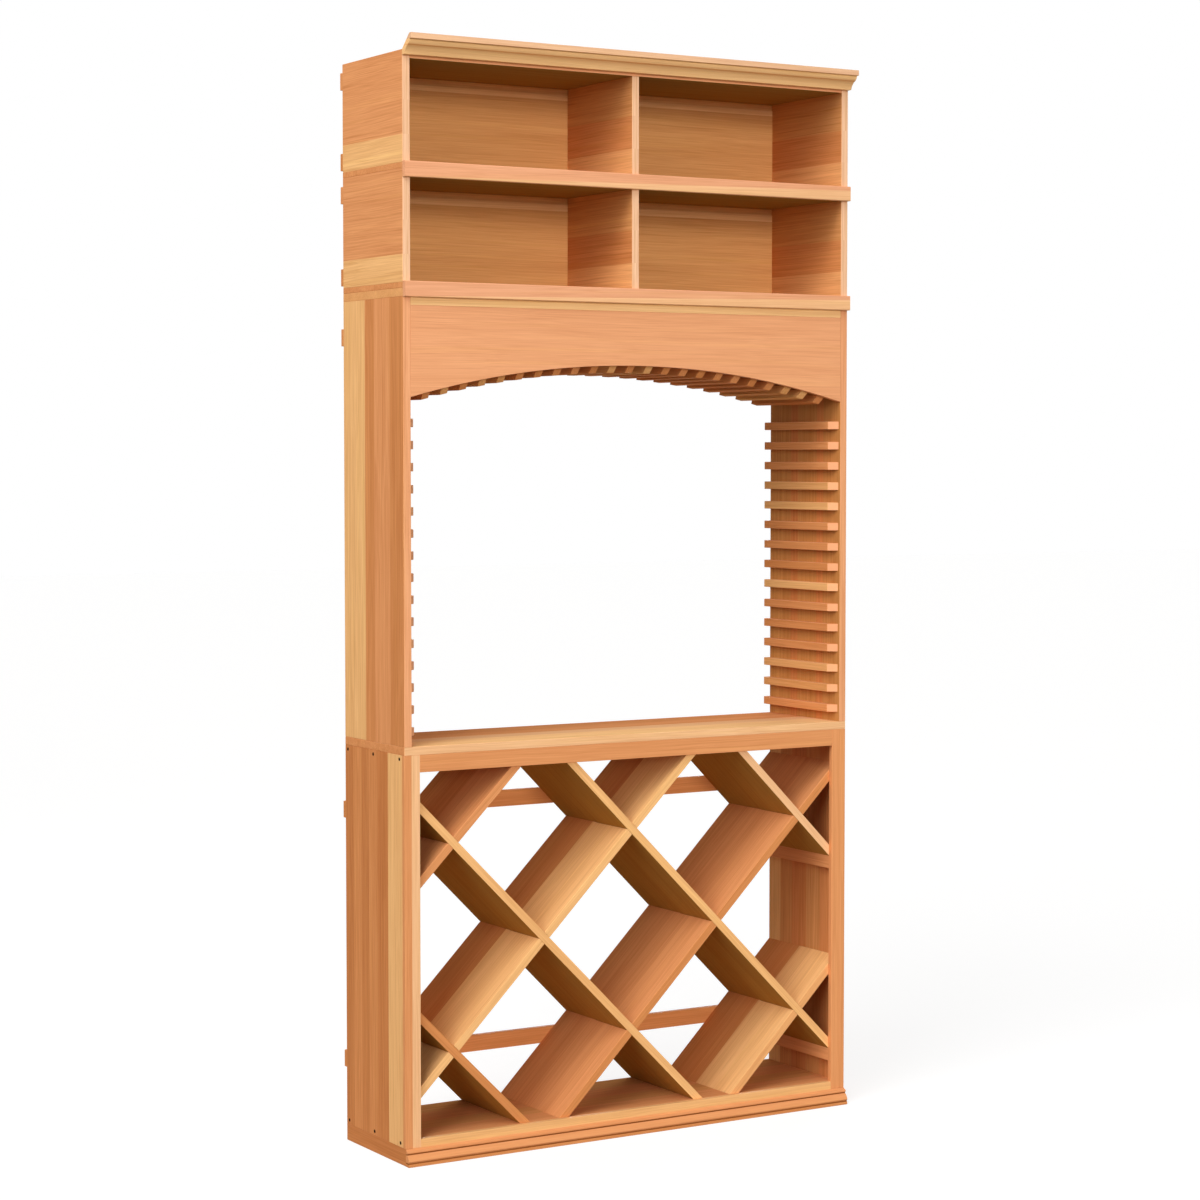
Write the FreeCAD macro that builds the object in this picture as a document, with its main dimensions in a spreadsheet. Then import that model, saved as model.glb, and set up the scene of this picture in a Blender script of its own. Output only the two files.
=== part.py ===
import FreeCAD, Part
import math
import os
import Sketcher

# Wine tasting station in solid wood: a cabinet with a diagonal bottle lattice, a table top,
# an arched serving space lined with slats, and two open double bins under a crown moulding.
# Millimetres, +X to the right, +Y to the wall, +Z up. The origin is on the floor,
# under the middle of the whole piece.

# Driving sizes
SIZES = {
    "overall_width": 1219.2,
    "carcass_depth": 298.45,
    "board": 19.05,
    "trim_board": 12.7,
    "strip_wide": 39.4,
    # Cabinet
    "table_height": 950.3,
    "base_mould_out": 16.0,
    # Bottle lattice and its ledgers
    "lattice_step": 239.4,
    "halving_clearance": 0.3,
    "ledger_tall": 31.75,
    "base_batten_offset": 293.5,
    # Screws through the end panels
    "screw_head": 8.0,
    "screw_shank": 4.2,
    "screw_long": 44.0,
    "screw_sink": 1.2,
    "screw_point": 7.0,
    "screw_inset": 12.7,
    "screw_clearance": 0.1,
    # Arched serving space
    "arch_side_tall": 1007.7,
    "arch_radius": 2250.0,
    "arch_drop": 145.0,
    "slat": 19.05,
    "slat_inset": 6.35,
    "side_slat_low": 22.8,
    "side_slat_high": 50.7,
    "ceiling_slat_margin": 48.6,
    "slat_cover": 3.05,
    "slat_clearance": 0.05,
    # Bins
    "lower_bin_tall": 252.3,
    "upper_bin_tall": 248.2,
    "back_sheet": 3.2,
    "back_gap": 14.4,
    "batten_lift": 4.8,
    # Lips and crown
    "lip_tall": 35.0,
    "lip_rise": 2.4,
    "lip_ease": 2.0,
    "edge_tolerance": 0.05,
    "crown_out": 44.4,
    "crown_tall": 44.2,
    "crown_lap": 12.5,
}

SIDE_SLATS = 15
CEILING_SLATS_EACH_WAY = 11
# Diagonals of the lattice that carry a board, in steps from the one through its middle
LATTICE_OFFSETS = (-3, -1, 1, 3)

# Moulding outlines: each corner is a share of how far the moulding stands out and of its height,
# with the radius of the arc to the next corner as a share of its chord, negative where it is hollow.
BASE_MOULD_SHARES = (
    (0.0, 0.0, None),
    (0.97, 0.0, None),
    (0.97, 0.16, None),
    (0.83, 0.19, None),
    (0.83, 0.245, None),
    (1.0, 0.33, 1.37),
    (0.36, 0.69, None),
    (0.36, 0.72, 0.62),
    (0.48, 0.89, -0.99),
    (0.05, 1.0, None),
    (0.0, 1.0, None),
)
CROWN_SHARES = (
    (0.0, 0.0, None),
    (0.286, 0.0, None),
    (0.318, 0.104, -1.31),
    (0.645, 0.445, None),
    (0.672, 0.455, 1.44),
    (0.822, 0.704, None),
    (1.0, 0.715, None),
    (1.0, 1.0, None),
    (0.786, 1.0, None),
    (0.0, 0.283, None),
)

X_AXIS = FreeCAD.Vector(1, 0, 0)
Y_AXIS = FreeCAD.Vector(0, 1, 0)
Z_AXIS = FreeCAD.Vector(0, 0, 1)

# Places as expressions on the sheet: across from the middle, back from the cabinet's front,
# up from the floor
HALF = "sizes.overall_width / 2"
INSIDE = "(sizes.overall_width / 2 - sizes.board)"
INSIDE_WIDTH = "(sizes.overall_width - 2 * sizes.board)"
RAIL_WIDTH = "(sizes.overall_width - 2 * sizes.strip_wide)"
FRONT = "(sizes.crown_out - sizes.carcass_depth - sizes.trim_board) / 2"
PANEL_DEPTH = "(sizes.carcass_depth - sizes.trim_board)"
TABLE_UNDER = "(sizes.table_height - sizes.board)"
FLOOR_FACE = "(sizes.strip_wide + sizes.board)"
CABINET_CEILING = "(sizes.table_height - 2 * sizes.board)"
LATTICE_HALF_TALL = f"(({CABINET_CEILING} - {FLOOR_FACE}) / 2)"
LATTICE_MIDDLE = f"(({CABINET_CEILING} + {FLOOR_FACE}) / 2)"
LATTICE_RUN = f"({INSIDE} + {LATTICE_HALF_TALL})"
LEANING_HALF = "(sizes.board / sqrt(2))"
ARCH_TOP = "(sizes.table_height + sizes.arch_side_tall)"
ARCH_CEILING = f"({ARCH_TOP} - sizes.board)"
ARCH_CROWN = f"({ARCH_TOP} - sizes.arch_drop)"
LOWER_BIN = f"({ARCH_TOP} + sizes.board)"
UPPER_BIN = f"({LOWER_BIN} + sizes.trim_board + sizes.lower_bin_tall)"
BINS_TOP = f"({UPPER_BIN} + sizes.trim_board + sizes.upper_bin_tall)"

doc = FreeCAD.newDocument("tasting_station")
nodes = []


def make_sheet():
    """Write the driving sizes into a spreadsheet, one alias for each."""
    sheet = doc.addObject("Spreadsheet::Sheet", "sizes")
    for row, (alias, value) in enumerate(SIZES.items(), start=1):
        sheet.set(f"A{row}", alias)
        sheet.set(f"B{row}", str(value))
        sheet.setAlias(f"B{row}", alias)
    doc.recompute()


def worked_out(expression):
    """The number that an expression on the sheet gives now."""
    return float(reckoner.evalExpression(expression))


def bind(item, **sizes):
    """Bind properties of an object to expressions on the sheet."""
    for name, expression in sizes.items():
        item.setExpression(name, expression)
    return item


def put(item, across="0", back="0", up="0"):
    """Place an object: across from the middle, back from the cabinet's front, up from the floor."""
    item.setExpression("Placement.Base.x", across)
    item.setExpression("Placement.Base.y", f"{FRONT} + {back}")
    item.setExpression("Placement.Base.z", up)
    return item


def turn(item, along, inward):
    """Turn an object so that its own X lies along one direction and its own Y along another."""
    turned = FreeCAD.Rotation(along, inward, along.cross(inward), "XYZ")
    item.Placement = FreeCAD.Placement(item.Placement.Base, turned)
    return item


def keep(item, label):
    """Label an object as a sub-part and list it for export."""
    item.Label = label
    nodes.append(item)
    return item


def plain_board(name, width, depth, height, across, back, up):
    """A square-edged board that is still to be cut."""
    item = bind(doc.addObject("Part::Box", name), Length=width, Width=depth, Height=height)
    return put(item, across, back, up)


def board(label, width, depth, height, across, back, up):
    """A square-edged board as one sub-part."""
    item = plain_board(f"{label}_board", width, depth, height, across, back, up)
    return keep(item, label)


def cut_board(label, blank, cutters):
    """A board with its screw holes or notches, as one sub-part."""
    item = doc.addObject("Part::Cut", f"{label}_cut")
    item.Base = blank
    item.Tool = cutters
    return keep(item, label)


def plane_of(body, role):
    """One of a body's own origin planes."""
    return next(item for item in body.Origin.OriginFeatures if item.Role == role)


def arc_between(start, end, radius, hollow):
    """The arc from start to end that bulges to the right of the way, or to the left where hollow."""
    chord = end - start
    middle = (start + end) / 2
    side = FreeCAD.Vector(-chord.y, chord.x, 0).normalize()
    away = math.sqrt(radius ** 2 - (chord.Length / 2) ** 2)
    centre = middle + side * (-away if hollow else away)
    angles = [math.atan2(p.y - centre.y, p.x - centre.x) for p in (start, end)]
    if hollow:
        angles.reverse()
    if angles[1] < angles[0]:
        angles[1] += math.tau
    return Part.ArcOfCircle(Part.Circle(centre, Z_AXIS, radius), *angles)


def outline(body, role, corners):
    """Draw a closed outline whose corners are pairs of expressions.

    A corner may hold a third expression: the radius of the arc to the next corner.
    A fourth entry that is true makes that arc hollow.
    """
    sketch = body.newObject("Sketcher::SketchObject", f"{body.Name}_outline")
    sketch.AttachmentSupport = [(plane_of(body, role), "")]
    sketch.MapMode = "FlatFace"
    points = [FreeCAD.Vector(worked_out(c[0]), worked_out(c[1]), 0) for c in corners]
    ends = []
    for index, corner in enumerate(corners):
        start, end = points[index], points[(index + 1) % len(points)]
        if len(corner) > 2 and corner[2]:
            hollow = len(corner) > 3 and corner[3]
            edge = sketch.addGeometry(arc_between(start, end, worked_out(corner[2]), hollow), False)
            ends.append((edge, 2, 1) if hollow else (edge, 1, 2))
        else:
            edge = sketch.addGeometry(Part.LineSegment(start, end), False)
            ends.append((edge, 1, 2))
    for index, (edge, _, last) in enumerate(ends):
        following, first, _ = ends[(index + 1) % len(ends)]
        sketch.addConstraint(Sketcher.Constraint("Coincident", edge, last, following, first))
    for index, corner in enumerate(corners):
        edge, first, _ = ends[index]
        fix(sketch, "DistanceX", edge, first, points[index].x, corner[0])
        fix(sketch, "DistanceY", edge, first, points[index].y, corner[1])
        if len(corner) > 2 and corner[2]:
            radius = sketch.addConstraint(Sketcher.Constraint("Radius", edge, worked_out(corner[2])))
            sketch.setExpression(f"Constraints[{radius}]", corner[2])
    return sketch


def fix(sketch, kind, edge, end, value, expression):
    """Hold one coordinate of an outline's corner to an expression, or to its axis where it is zero."""
    if expression == "0":
        axis = -2 if kind == "DistanceX" else -1
        sketch.addConstraint(Sketcher.Constraint("PointOnObject", edge, end, axis))
        return
    held = sketch.addConstraint(Sketcher.Constraint(kind, -1, 1, edge, end, value))
    sketch.setExpression(f"Constraints[{held}]", expression)


def padded(name, role, corners, length, backward=False):
    """A body with one outline padded along its plane's normal."""
    body = doc.addObject("PartDesign::Body", name)
    sketch = outline(body, role, corners)
    pad = body.newObject("PartDesign::Pad", f"{name}_pad")
    pad.Profile = sketch
    pad.Reversed = backward
    bind(pad, Length=length)
    return body


def shared_corners(shares, out, tall):
    """Corners of a moulding's outline, from shares of its two sizes."""
    corners = []
    for index, (out_share, tall_share, radius_share) in enumerate(shares):
        corner = [f"{share} * {size}" if share else "0"
                  for share, size in ((out_share, out), (tall_share, tall))]
        if radius_share:
            next_out, next_tall, _ = shares[index + 1]
            chord = f"sqrt(({next_out - out_share} * {out}) ^ 2 + ({next_tall - tall_share} * {tall}) ^ 2)"
            corner += [f"{abs(radius_share)} * {chord}", radius_share < 0]
        corners.append(corner)
    return corners


def moulding(label, shares, out, tall, up):
    """A moulding across the front, its outline standing out to the front."""
    body = padded(f"{label}_body", "YZ_Plane", shared_corners(shares, out, tall), "sizes.overall_width")
    turn(body, -X_AXIS, -Y_AXIS)
    return keep(put(body, HALF, "0", up), label)


def screw_shape(name, extra, side, back, up):
    """A countersunk wood screw driven in from one end panel's outer face, or the hole that takes it.

    The hole is larger all round by extra and open to the panel's face.
    """
    inward = X_AXIS if side < 0 else -X_AXIS
    head_radius = f"(sizes.screw_head / 2 + {extra})"
    shank_radius = f"(sizes.screw_shank / 2 + {extra})"
    head_deep = f"({head_radius} - {shank_radius})"
    straight = f"(sizes.screw_long - {head_deep} - sizes.screw_point)"
    head = doc.addObject("Part::Cone", f"{name}_head")
    bind(head, Radius1=head_radius, Radius2=shank_radius, Height=head_deep)
    shank = doc.addObject("Part::Cylinder", f"{name}_shank")
    bind(shank, Radius=shank_radius, Height=straight)
    point = doc.addObject("Part::Cone", f"{name}_point")
    bind(point, Radius1=shank_radius, Radius2="0", Height=f"(sizes.screw_point + {extra})")
    pieces = [head, shank, point]
    depths = ["sizes.screw_sink", f"(sizes.screw_sink + {head_deep})",
              f"(sizes.screw_sink + {head_deep} + {straight})"]
    if extra != "0":
        mouth = doc.addObject("Part::Cylinder", f"{name}_mouth")
        pieces.append(bind(mouth, Radius=head_radius, Height="sizes.screw_sink"))
        depths.append("0")
    sign = "-1" if side < 0 else "1"
    for piece, deep in zip(pieces, depths):
        piece.Placement = FreeCAD.Placement(piece.Placement.Base, FreeCAD.Rotation(Z_AXIS, inward))
        put(piece, f"{sign} * ({HALF} - {deep})", back, up)
    whole = doc.addObject("Part::MultiFuse", name)
    whole.Shapes = pieces
    return whole


def screws(side, extra):
    """The six screws, or holes, of one end panel: three into the cabinet's top and three into its floor."""
    hand = "left" if side < 0 else "right"
    use = "screw" if extra == "0" else "hole"
    front_row = "(sizes.trim_board + sizes.screw_inset)"
    rear_row = "(sizes.carcass_depth - sizes.screw_inset)"
    rows = (front_row, f"(({front_row} + {rear_row}) / 2)", rear_row)
    levels = (f"({FLOOR_FACE} - sizes.board / 2)", f"({TABLE_UNDER} - sizes.board / 2)")
    placed = [screw_shape(f"{hand}_{use}_{number}", extra, side, back, up)
              for number, (back, up) in enumerate((row, level) for row in rows for level in levels)]
    group = doc.addObject("Part::Compound", f"{hand}_{use}_group")
    group.Links = placed
    return group


def make_cabinet():
    """End panels, floor, ceiling, table top, skids, face frame, base moulding and screws."""
    holes = {side: screws(side, "sizes.screw_clearance") for side in (-1, 1)}
    all_holes = doc.addObject("Part::Compound", "all_holes")
    all_holes.Links = list(holes.values())
    panel_tall = f"({TABLE_UNDER} - sizes.strip_wide)"
    for side, hand in ((-1, "left"), (1, "right")):
        outer = f"-{HALF}" if side < 0 else INSIDE
        panel = plain_board(f"{hand}_end_blank", "sizes.board", PANEL_DEPTH, panel_tall,
                            outer, "sizes.trim_board", "sizes.strip_wide")
        cut_board(f"{hand}_end_panel", panel, holes[side])
        board(f"{hand}_skid", "sizes.board", "sizes.carcass_depth", "sizes.strip_wide", outer, "0", "0")
        stile_at = f"-{HALF}" if side < 0 else f"({HALF} - sizes.strip_wide)"
        board(f"{hand}_stile", "sizes.strip_wide", "sizes.trim_board", panel_tall,
              stile_at, "0", "sizes.strip_wide")
        keep(screws(side, "0"), f"{hand}_screws")
    floor = plain_board("floor_blank", INSIDE_WIDTH, PANEL_DEPTH, "sizes.board",
                        f"-{INSIDE}", "sizes.trim_board", "sizes.strip_wide")
    cut_board("cabinet_floor", floor, all_holes)
    ceiling = plain_board("ceiling_blank", INSIDE_WIDTH, PANEL_DEPTH, "sizes.board",
                          f"-{INSIDE}", "sizes.trim_board", CABINET_CEILING)
    cut_board("cabinet_top", ceiling, all_holes)
    board("table_top", "sizes.overall_width", "sizes.carcass_depth", "sizes.board",
          f"-{HALF}", "0", TABLE_UNDER)
    board("top_rail", RAIL_WIDTH, "sizes.trim_board", "sizes.strip_wide",
          f"-{RAIL_WIDTH} / 2", "0", f"({TABLE_UNDER} - sizes.strip_wide)")
    make_bottom_rail()
    moulding("base_moulding", BASE_MOULD_SHARES, "sizes.base_mould_out", "sizes.strip_wide", "0")


def make_bottom_rail():
    """The bottom rail, level with the floor: between the stiles above, between the skids below."""
    foot = f"({FLOOR_FACE} - sizes.strip_wide)"
    tongue = f"(sizes.strip_wide - {foot})"
    step = f"(({INSIDE_WIDTH} - {RAIL_WIDTH}) / 2)"
    far_step = f"({INSIDE_WIDTH} - {step})"
    corners = [
        ("0", "0"),
        (INSIDE_WIDTH, "0"),
        (INSIDE_WIDTH, tongue),
        (far_step, tongue),
        (far_step, "sizes.strip_wide"),
        (step, "sizes.strip_wide"),
        (step, tongue),
        ("0", tongue),
    ]
    body = padded("bottom_rail_body", "XZ_Plane", corners, "sizes.trim_board", backward=True)
    keep(put(body, f"-{INSIDE}", "0", foot), "bottom_rail")


def lattice_strip(name, offset, rising, thick, back, deep):
    """A strip on one of the lattice's diagonals, longer than the cabinet, offset steps from its middle."""
    hand = "-1" if rising else "1"
    half_lean = f"({thick} / (2 * sqrt(2)))"
    strip = doc.addObject("Part::Box", name)
    bind(strip, Length=f"2 * sqrt(2) * {LATTICE_RUN}", Width=deep, Height=thick)
    turn(strip, FreeCAD.Vector(1, 0, 1 if rising else -1).normalize(), Y_AXIS)
    across = f"{hand} * ({offset} * sizes.lattice_step / 2 - {half_lean}) - {LATTICE_RUN}"
    up = f"{LATTICE_MIDDLE} + {offset} * sizes.lattice_step / 2 + {hand} * {LATTICE_RUN} - {half_lean}"
    return put(strip, across, back, up)


def notches(way, crossing_rises, ledgers):
    """What the boards of one way make room for: the boards that cross them, halved, and the ledgers.

    Falling boards are notched from the back and rising ones from the front.
    """
    wide = "(sizes.board + sizes.halving_clearance)"
    deep = f"(({PANEL_DEPTH} + sizes.halving_clearance) / 2)"
    back = f"(sizes.carcass_depth - {deep})" if crossing_rises else "sizes.trim_board"
    cutters = [lattice_strip(f"{way}_notch_{number}", offset, crossing_rises, wide, back, deep)
               for number, offset in enumerate(LATTICE_OFFSETS, start=1)]
    group = doc.addObject("Part::Compound", f"{way}_notches")
    group.Links = cutters + ledgers
    return group


def make_lattice():
    """Eight diagonal boards, halved into each other and cut to the cabinet's sides, floor and ceiling."""
    space = plain_board("lattice_space", INSIDE_WIDTH, PANEL_DEPTH, f"2 * {LATTICE_HALF_TALL}",
                        f"-{INSIDE}", "sizes.trim_board", FLOOR_FACE)
    left_ledgers, left_spaces = make_ledgers("left")
    right_ledgers, right_spaces = make_ledgers("right")
    for way, rising, ledgers in (("falling", False, right_ledgers + left_spaces),
                                 ("rising", True, left_ledgers + right_spaces)):
        cutters = notches(way, not rising, ledgers)
        for number, offset in enumerate(LATTICE_OFFSETS, start=1):
            label = f"{way}_lattice_board_{number}"
            strip = lattice_strip(f"{label}_strip", offset, rising, "sizes.board",
                                  "sizes.trim_board", PANEL_DEPTH)
            mitred = doc.addObject("Part::Common", f"{label}_mitred")
            mitred.Base = strip
            mitred.Tool = space
            cut_board(label, mitred, cutters)


def make_ledgers(hand):
    """Bevelled ledgers on one end panel, and the square space that each takes up against it.

    The ledgers lie under the feet of the two highest boards that come down to the panel.
    """
    made, spaces = [], []
    at = f"-{INSIDE}" if hand == "left" else f"({INSIDE} - sizes.board)"
    for level, order in (("lower", 1), ("upper", 3)):
        item = doc.addObject("Part::Wedge", f"{hand}_{level}_ledger_wedge")
        bind(item, Xmin="0", X2min="0", Xmax=PANEL_DEPTH, X2max=PANEL_DEPTH, Ymin="0", Ymax="sizes.board",
             Zmin="0", Z2min="0", Zmax="sizes.ledger_tall - sizes.board", Z2max="sizes.ledger_tall")
        underside = f"({LATTICE_MIDDLE} + {order} * sizes.lattice_step - {INSIDE} - {LEANING_HALF})"
        up = f"max({FLOOR_FACE}; {underside} - (sizes.ledger_tall - sizes.board))"
        if hand == "left":
            turn(item, -Y_AXIS, X_AXIS)
            put(item, f"-{INSIDE}", "sizes.carcass_depth", up)
        else:
            turn(item, Y_AXIS, -X_AXIS)
            put(item, INSIDE, "sizes.trim_board", up)
        made.append(keep(item, f"{hand}_{level}_ledger"))
        spaces.append(plain_board(f"{hand}_{level}_ledger_space", "sizes.board", PANEL_DEPTH,
                                  "sizes.ledger_tall", at, "sizes.trim_board", up))
    return made, spaces


def batten(label, middle):
    """A horizontal batten across the back, by which the station is fixed to a wall."""
    board(label, "sizes.overall_width", "sizes.trim_board", "sizes.strip_wide",
          f"-{HALF}", "sizes.carcass_depth", f"({middle} - sizes.strip_wide / 2)")


def slat(name, short_by):
    """A square slat in its own frame: X along it from the front, Y off what it is fixed to.

    Its front end is bevelled at 45 degrees, away from the surface that it is fixed to.
    """
    item = doc.addObject("Part::Wedge", name)
    long = f"(sizes.carcass_depth - {short_by})"
    near = "-sizes.slat / 2"
    far = "sizes.slat / 2"
    return bind(item, Xmin="0", Xmax=long, X2min="sizes.slat", X2max=long,
                Ymin="0", Ymax="sizes.slat", Zmin=near, Z2min=near, Zmax=far, Z2max=far)


def arc_foot(cover):
    """Where an arc concentric with the valance's edge, and higher by cover, meets the side panels."""
    radius = f"(sizes.arch_radius + {cover})"
    return f"({ARCH_CROWN} - sizes.arch_radius + sqrt({radius} ^ 2 - {INSIDE} ^ 2))"


def side_slats(hand):
    """The slats on one side panel of the serving space, evenly spread between the table and the ribs."""
    lowest = "(sizes.table_height + sizes.side_slat_low + sizes.slat / 2)"
    highest = f"({arc_foot('sizes.slat_cover')} - sizes.side_slat_high - sizes.slat / 2)"
    placed = []
    for number in range(SIDE_SLATS):
        item = slat(f"{hand}_slat_{number}", "sizes.slat_inset")
        up = f"{lowest} + {number} * ({highest} - {lowest}) / {SIDE_SLATS - 1}"
        turn(item, Y_AXIS, X_AXIS if hand == "left" else -X_AXIS)
        put(item, f"-{INSIDE}" if hand == "left" else INSIDE, "sizes.slat_inset", up)
        placed.append(item)
    group = doc.addObject("Part::Compound", f"{hand}_slat_group")
    group.Links = placed
    keep(group, f"{hand}_slats")


def ceiling_slats():
    """The slats under the arched ribs, square to the arc and evenly spread along it between the sides."""
    seat = worked_out("sizes.arch_radius + sizes.slat_cover - sizes.slat_clearance")
    centre_height = worked_out(f"{ARCH_CROWN} - sizes.arch_radius")
    half_run = seat * math.asin(worked_out(INSIDE) / seat) - worked_out("sizes.ceiling_slat_margin")
    pitch = half_run / CEILING_SLATS_EACH_WAY
    front = worked_out(f"{FRONT} + sizes.trim_board")
    placed = []
    for number in range(-CEILING_SLATS_EACH_WAY, CEILING_SLATS_EACH_WAY + 1):
        item = slat(f"ceiling_slat_{number + CEILING_SLATS_EACH_WAY}", "sizes.trim_board")
        angle = number * pitch / seat
        outward = FreeCAD.Vector(math.sin(angle), 0, math.cos(angle))
        turn(item, Y_AXIS, -outward)
        item.Placement.Base = FreeCAD.Vector(0, front, centre_height) + outward * seat
        placed.append(item)
    group = doc.addObject("Part::Compound", "ceiling_slat_group")
    group.Links = placed
    keep(group, "ceiling_slats")


def arched_board(label, thickness, cover, back):
    """A board between the sides of the serving space, with its lower edge cut to the arc.

    The arc is concentric with the front valance's edge and lies higher by cover.
    """
    foot = arc_foot(cover)
    tall = f"({ARCH_CEILING} - {foot})"
    arc = f"(sizes.arch_radius + {cover})"
    corners = [("0", "0", arc, True), (INSIDE_WIDTH, "0"), (INSIDE_WIDTH, tall), ("0", tall)]
    body = padded(f"{label}_body", "XZ_Plane", corners, thickness, backward=True)
    keep(put(body, f"-{INSIDE}", back, foot), label)


def make_arch_unit():
    """Side panels, arched valance and ribs, sub-top, cap and all the slats of the serving space."""
    for hand, at in (("left", f"-{HALF}"), ("right", INSIDE)):
        board(f"arch_{hand}_side", "sizes.board", "sizes.carcass_depth", "sizes.arch_side_tall",
              at, "0", "sizes.table_height")
        side_slats(hand)
    ceiling_slats()
    arched_board("arch_valance", "sizes.trim_board", "0", "0")
    arched_board("arch_front_rib", "sizes.board", "sizes.slat_cover", "sizes.trim_board")
    arched_board("arch_rear_rib", "sizes.board", "sizes.slat_cover", "(sizes.carcass_depth - sizes.board)")
    board("arch_sub_top", INSIDE_WIDTH, "sizes.carcass_depth", "sizes.board",
          f"-{INSIDE}", "0", ARCH_CEILING)
    board("arch_cap", "sizes.overall_width", "sizes.carcass_depth", "sizes.board",
          f"-{HALF}", "0", ARCH_TOP)
    batten("arch_batten", f"(({ARCH_CEILING} + {ARCH_CROWN}) / 2)")


def make_bin(name, foot, tall):
    """A double bin: floor, sides, divider, top, back sheet and two battens."""
    deck = f"({foot} + sizes.trim_board)"
    roof = f"({deck} + {tall} - sizes.board)"
    board(f"{name}_bin_floor", "sizes.overall_width", "sizes.carcass_depth", "sizes.trim_board",
          f"-{HALF}", "0", foot)
    for hand, at in (("left", f"-{HALF}"), ("right", INSIDE)):
        board(f"{name}_bin_{hand}_side", "sizes.board", "sizes.carcass_depth", tall, at, "0", deck)
    board(f"{name}_bin_divider", "sizes.board", "(sizes.carcass_depth - sizes.back_sheet)",
          f"({tall} - sizes.board)", "-sizes.board / 2", "0", deck)
    board(f"{name}_bin_top", INSIDE_WIDTH, "sizes.carcass_depth", "sizes.board", f"-{INSIDE}", "0", roof)
    board(f"{name}_bin_back", INSIDE_WIDTH, "sizes.back_sheet", f"({tall} - sizes.board - sizes.back_gap)",
          f"-{INSIDE}", "(sizes.carcass_depth - sizes.back_sheet)", deck)
    batten(f"{name}_bin_low_batten", f"({deck} + sizes.batten_lift + sizes.strip_wide / 2)")
    batten(f"{name}_bin_high_batten", f"({roof} - sizes.strip_wide / 2)")


def lip(label, deck):
    """A lip across the front that stands a little above a bin's floor, with eased front edges."""
    body = doc.addObject("PartDesign::Body", f"{label}_body")
    corners = [("0", "0"), ("sizes.trim_board", "0"),
               ("sizes.trim_board", "sizes.lip_tall"), ("0", "sizes.lip_tall")]
    sketch = outline(body, "YZ_Plane", corners)
    pad = body.newObject("PartDesign::Pad", f"{label}_pad")
    pad.Profile = sketch
    bind(pad, Length="sizes.overall_width")
    doc.recompute()
    out = worked_out("sizes.trim_board")
    tolerance = worked_out("sizes.edge_tolerance")
    front_edges = []
    for number, edge in enumerate(pad.Shape.Edges, start=1):
        box = edge.BoundBox
        if box.YMin > out - tolerance and box.XLength > tolerance:
            front_edges.append(f"Edge{number}")
    easing = body.newObject("PartDesign::Fillet", f"{label}_easing")
    easing.Base = (pad, front_edges)
    bind(easing, Radius="min(sizes.lip_ease; sizes.lip_tall / 3)")
    turn(body, -X_AXIS, -Y_AXIS)
    keep(put(body, HALF, "0", f"({deck} + sizes.lip_rise - sizes.lip_tall)"), label)


def export_nodes():
    """Recompute, check every object and write each sub-part's solid."""
    doc.recompute()
    failed = [item.Name for item in doc.Objects if {"Invalid", "Error"} & set(item.State)]
    if failed:
        raise RuntimeError(f"objects failed: {failed}")
    for item in nodes:
        if item.Shape.isNull() or not item.Shape.isValid() or not item.Shape.Solids:
            raise RuntimeError(f"{item.Label} has no valid solid")
    os.makedirs("parts", exist_ok=True)
    for item in nodes:
        item.Shape.exportStep(os.path.join("parts", f"{item.Label}.step"))


make_sheet()
# Evaluates expressions on the sheet before the solids exist
reckoner = doc.addObject("App::FeaturePython", "reckoner")
make_cabinet()
make_lattice()
batten("base_lower_batten", f"({LATTICE_MIDDLE} - sizes.base_batten_offset)")
batten("base_upper_batten", f"({LATTICE_MIDDLE} + sizes.base_batten_offset)")
make_arch_unit()
make_bin("lower", LOWER_BIN, "sizes.lower_bin_tall")
make_bin("upper", UPPER_BIN, "sizes.upper_bin_tall")
lip("lower_lip", f"({LOWER_BIN} + sizes.trim_board)")
lip("upper_lip", f"({UPPER_BIN} + sizes.trim_board)")
moulding("crown_moulding", CROWN_SHARES, "sizes.crown_out", "sizes.crown_tall",
         f"({BINS_TOP} - sizes.crown_lap)")
export_nodes()
print(len(nodes), "sub-parts written")
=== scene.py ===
"""Looks of the wine tasting station: eased redwood boards glued from staves, slats, mouldings and screws."""

import logging
import math
import random
from dataclasses import dataclass, field
from enum import Enum
from typing import Any, Iterable, Sequence, Union

import bmesh
import bpy
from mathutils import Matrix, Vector

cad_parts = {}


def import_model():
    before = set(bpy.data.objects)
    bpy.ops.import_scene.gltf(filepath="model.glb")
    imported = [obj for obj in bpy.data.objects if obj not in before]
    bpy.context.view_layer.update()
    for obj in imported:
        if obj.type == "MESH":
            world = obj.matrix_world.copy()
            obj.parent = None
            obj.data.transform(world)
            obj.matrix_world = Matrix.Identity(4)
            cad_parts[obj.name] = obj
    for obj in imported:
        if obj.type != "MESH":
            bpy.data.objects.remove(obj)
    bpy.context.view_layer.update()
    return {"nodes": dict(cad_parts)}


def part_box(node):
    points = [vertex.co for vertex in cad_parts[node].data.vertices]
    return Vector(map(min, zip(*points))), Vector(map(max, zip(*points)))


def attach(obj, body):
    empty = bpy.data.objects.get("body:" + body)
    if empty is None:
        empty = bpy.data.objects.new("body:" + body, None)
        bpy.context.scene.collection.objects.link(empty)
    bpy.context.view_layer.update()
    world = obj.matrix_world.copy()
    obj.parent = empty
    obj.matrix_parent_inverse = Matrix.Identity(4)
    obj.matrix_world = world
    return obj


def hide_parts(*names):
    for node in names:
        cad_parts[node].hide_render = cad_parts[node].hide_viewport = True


log = logging.getLogger("tasting_station")

BODY = "root"
MM = 0.001
NOISE_MEAN = 0.5
WHITE = (1.0, 1.0, 1.0, 1.0)

Triple = tuple[float, float, float]
Colour = tuple[float, float, float, float]


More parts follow.
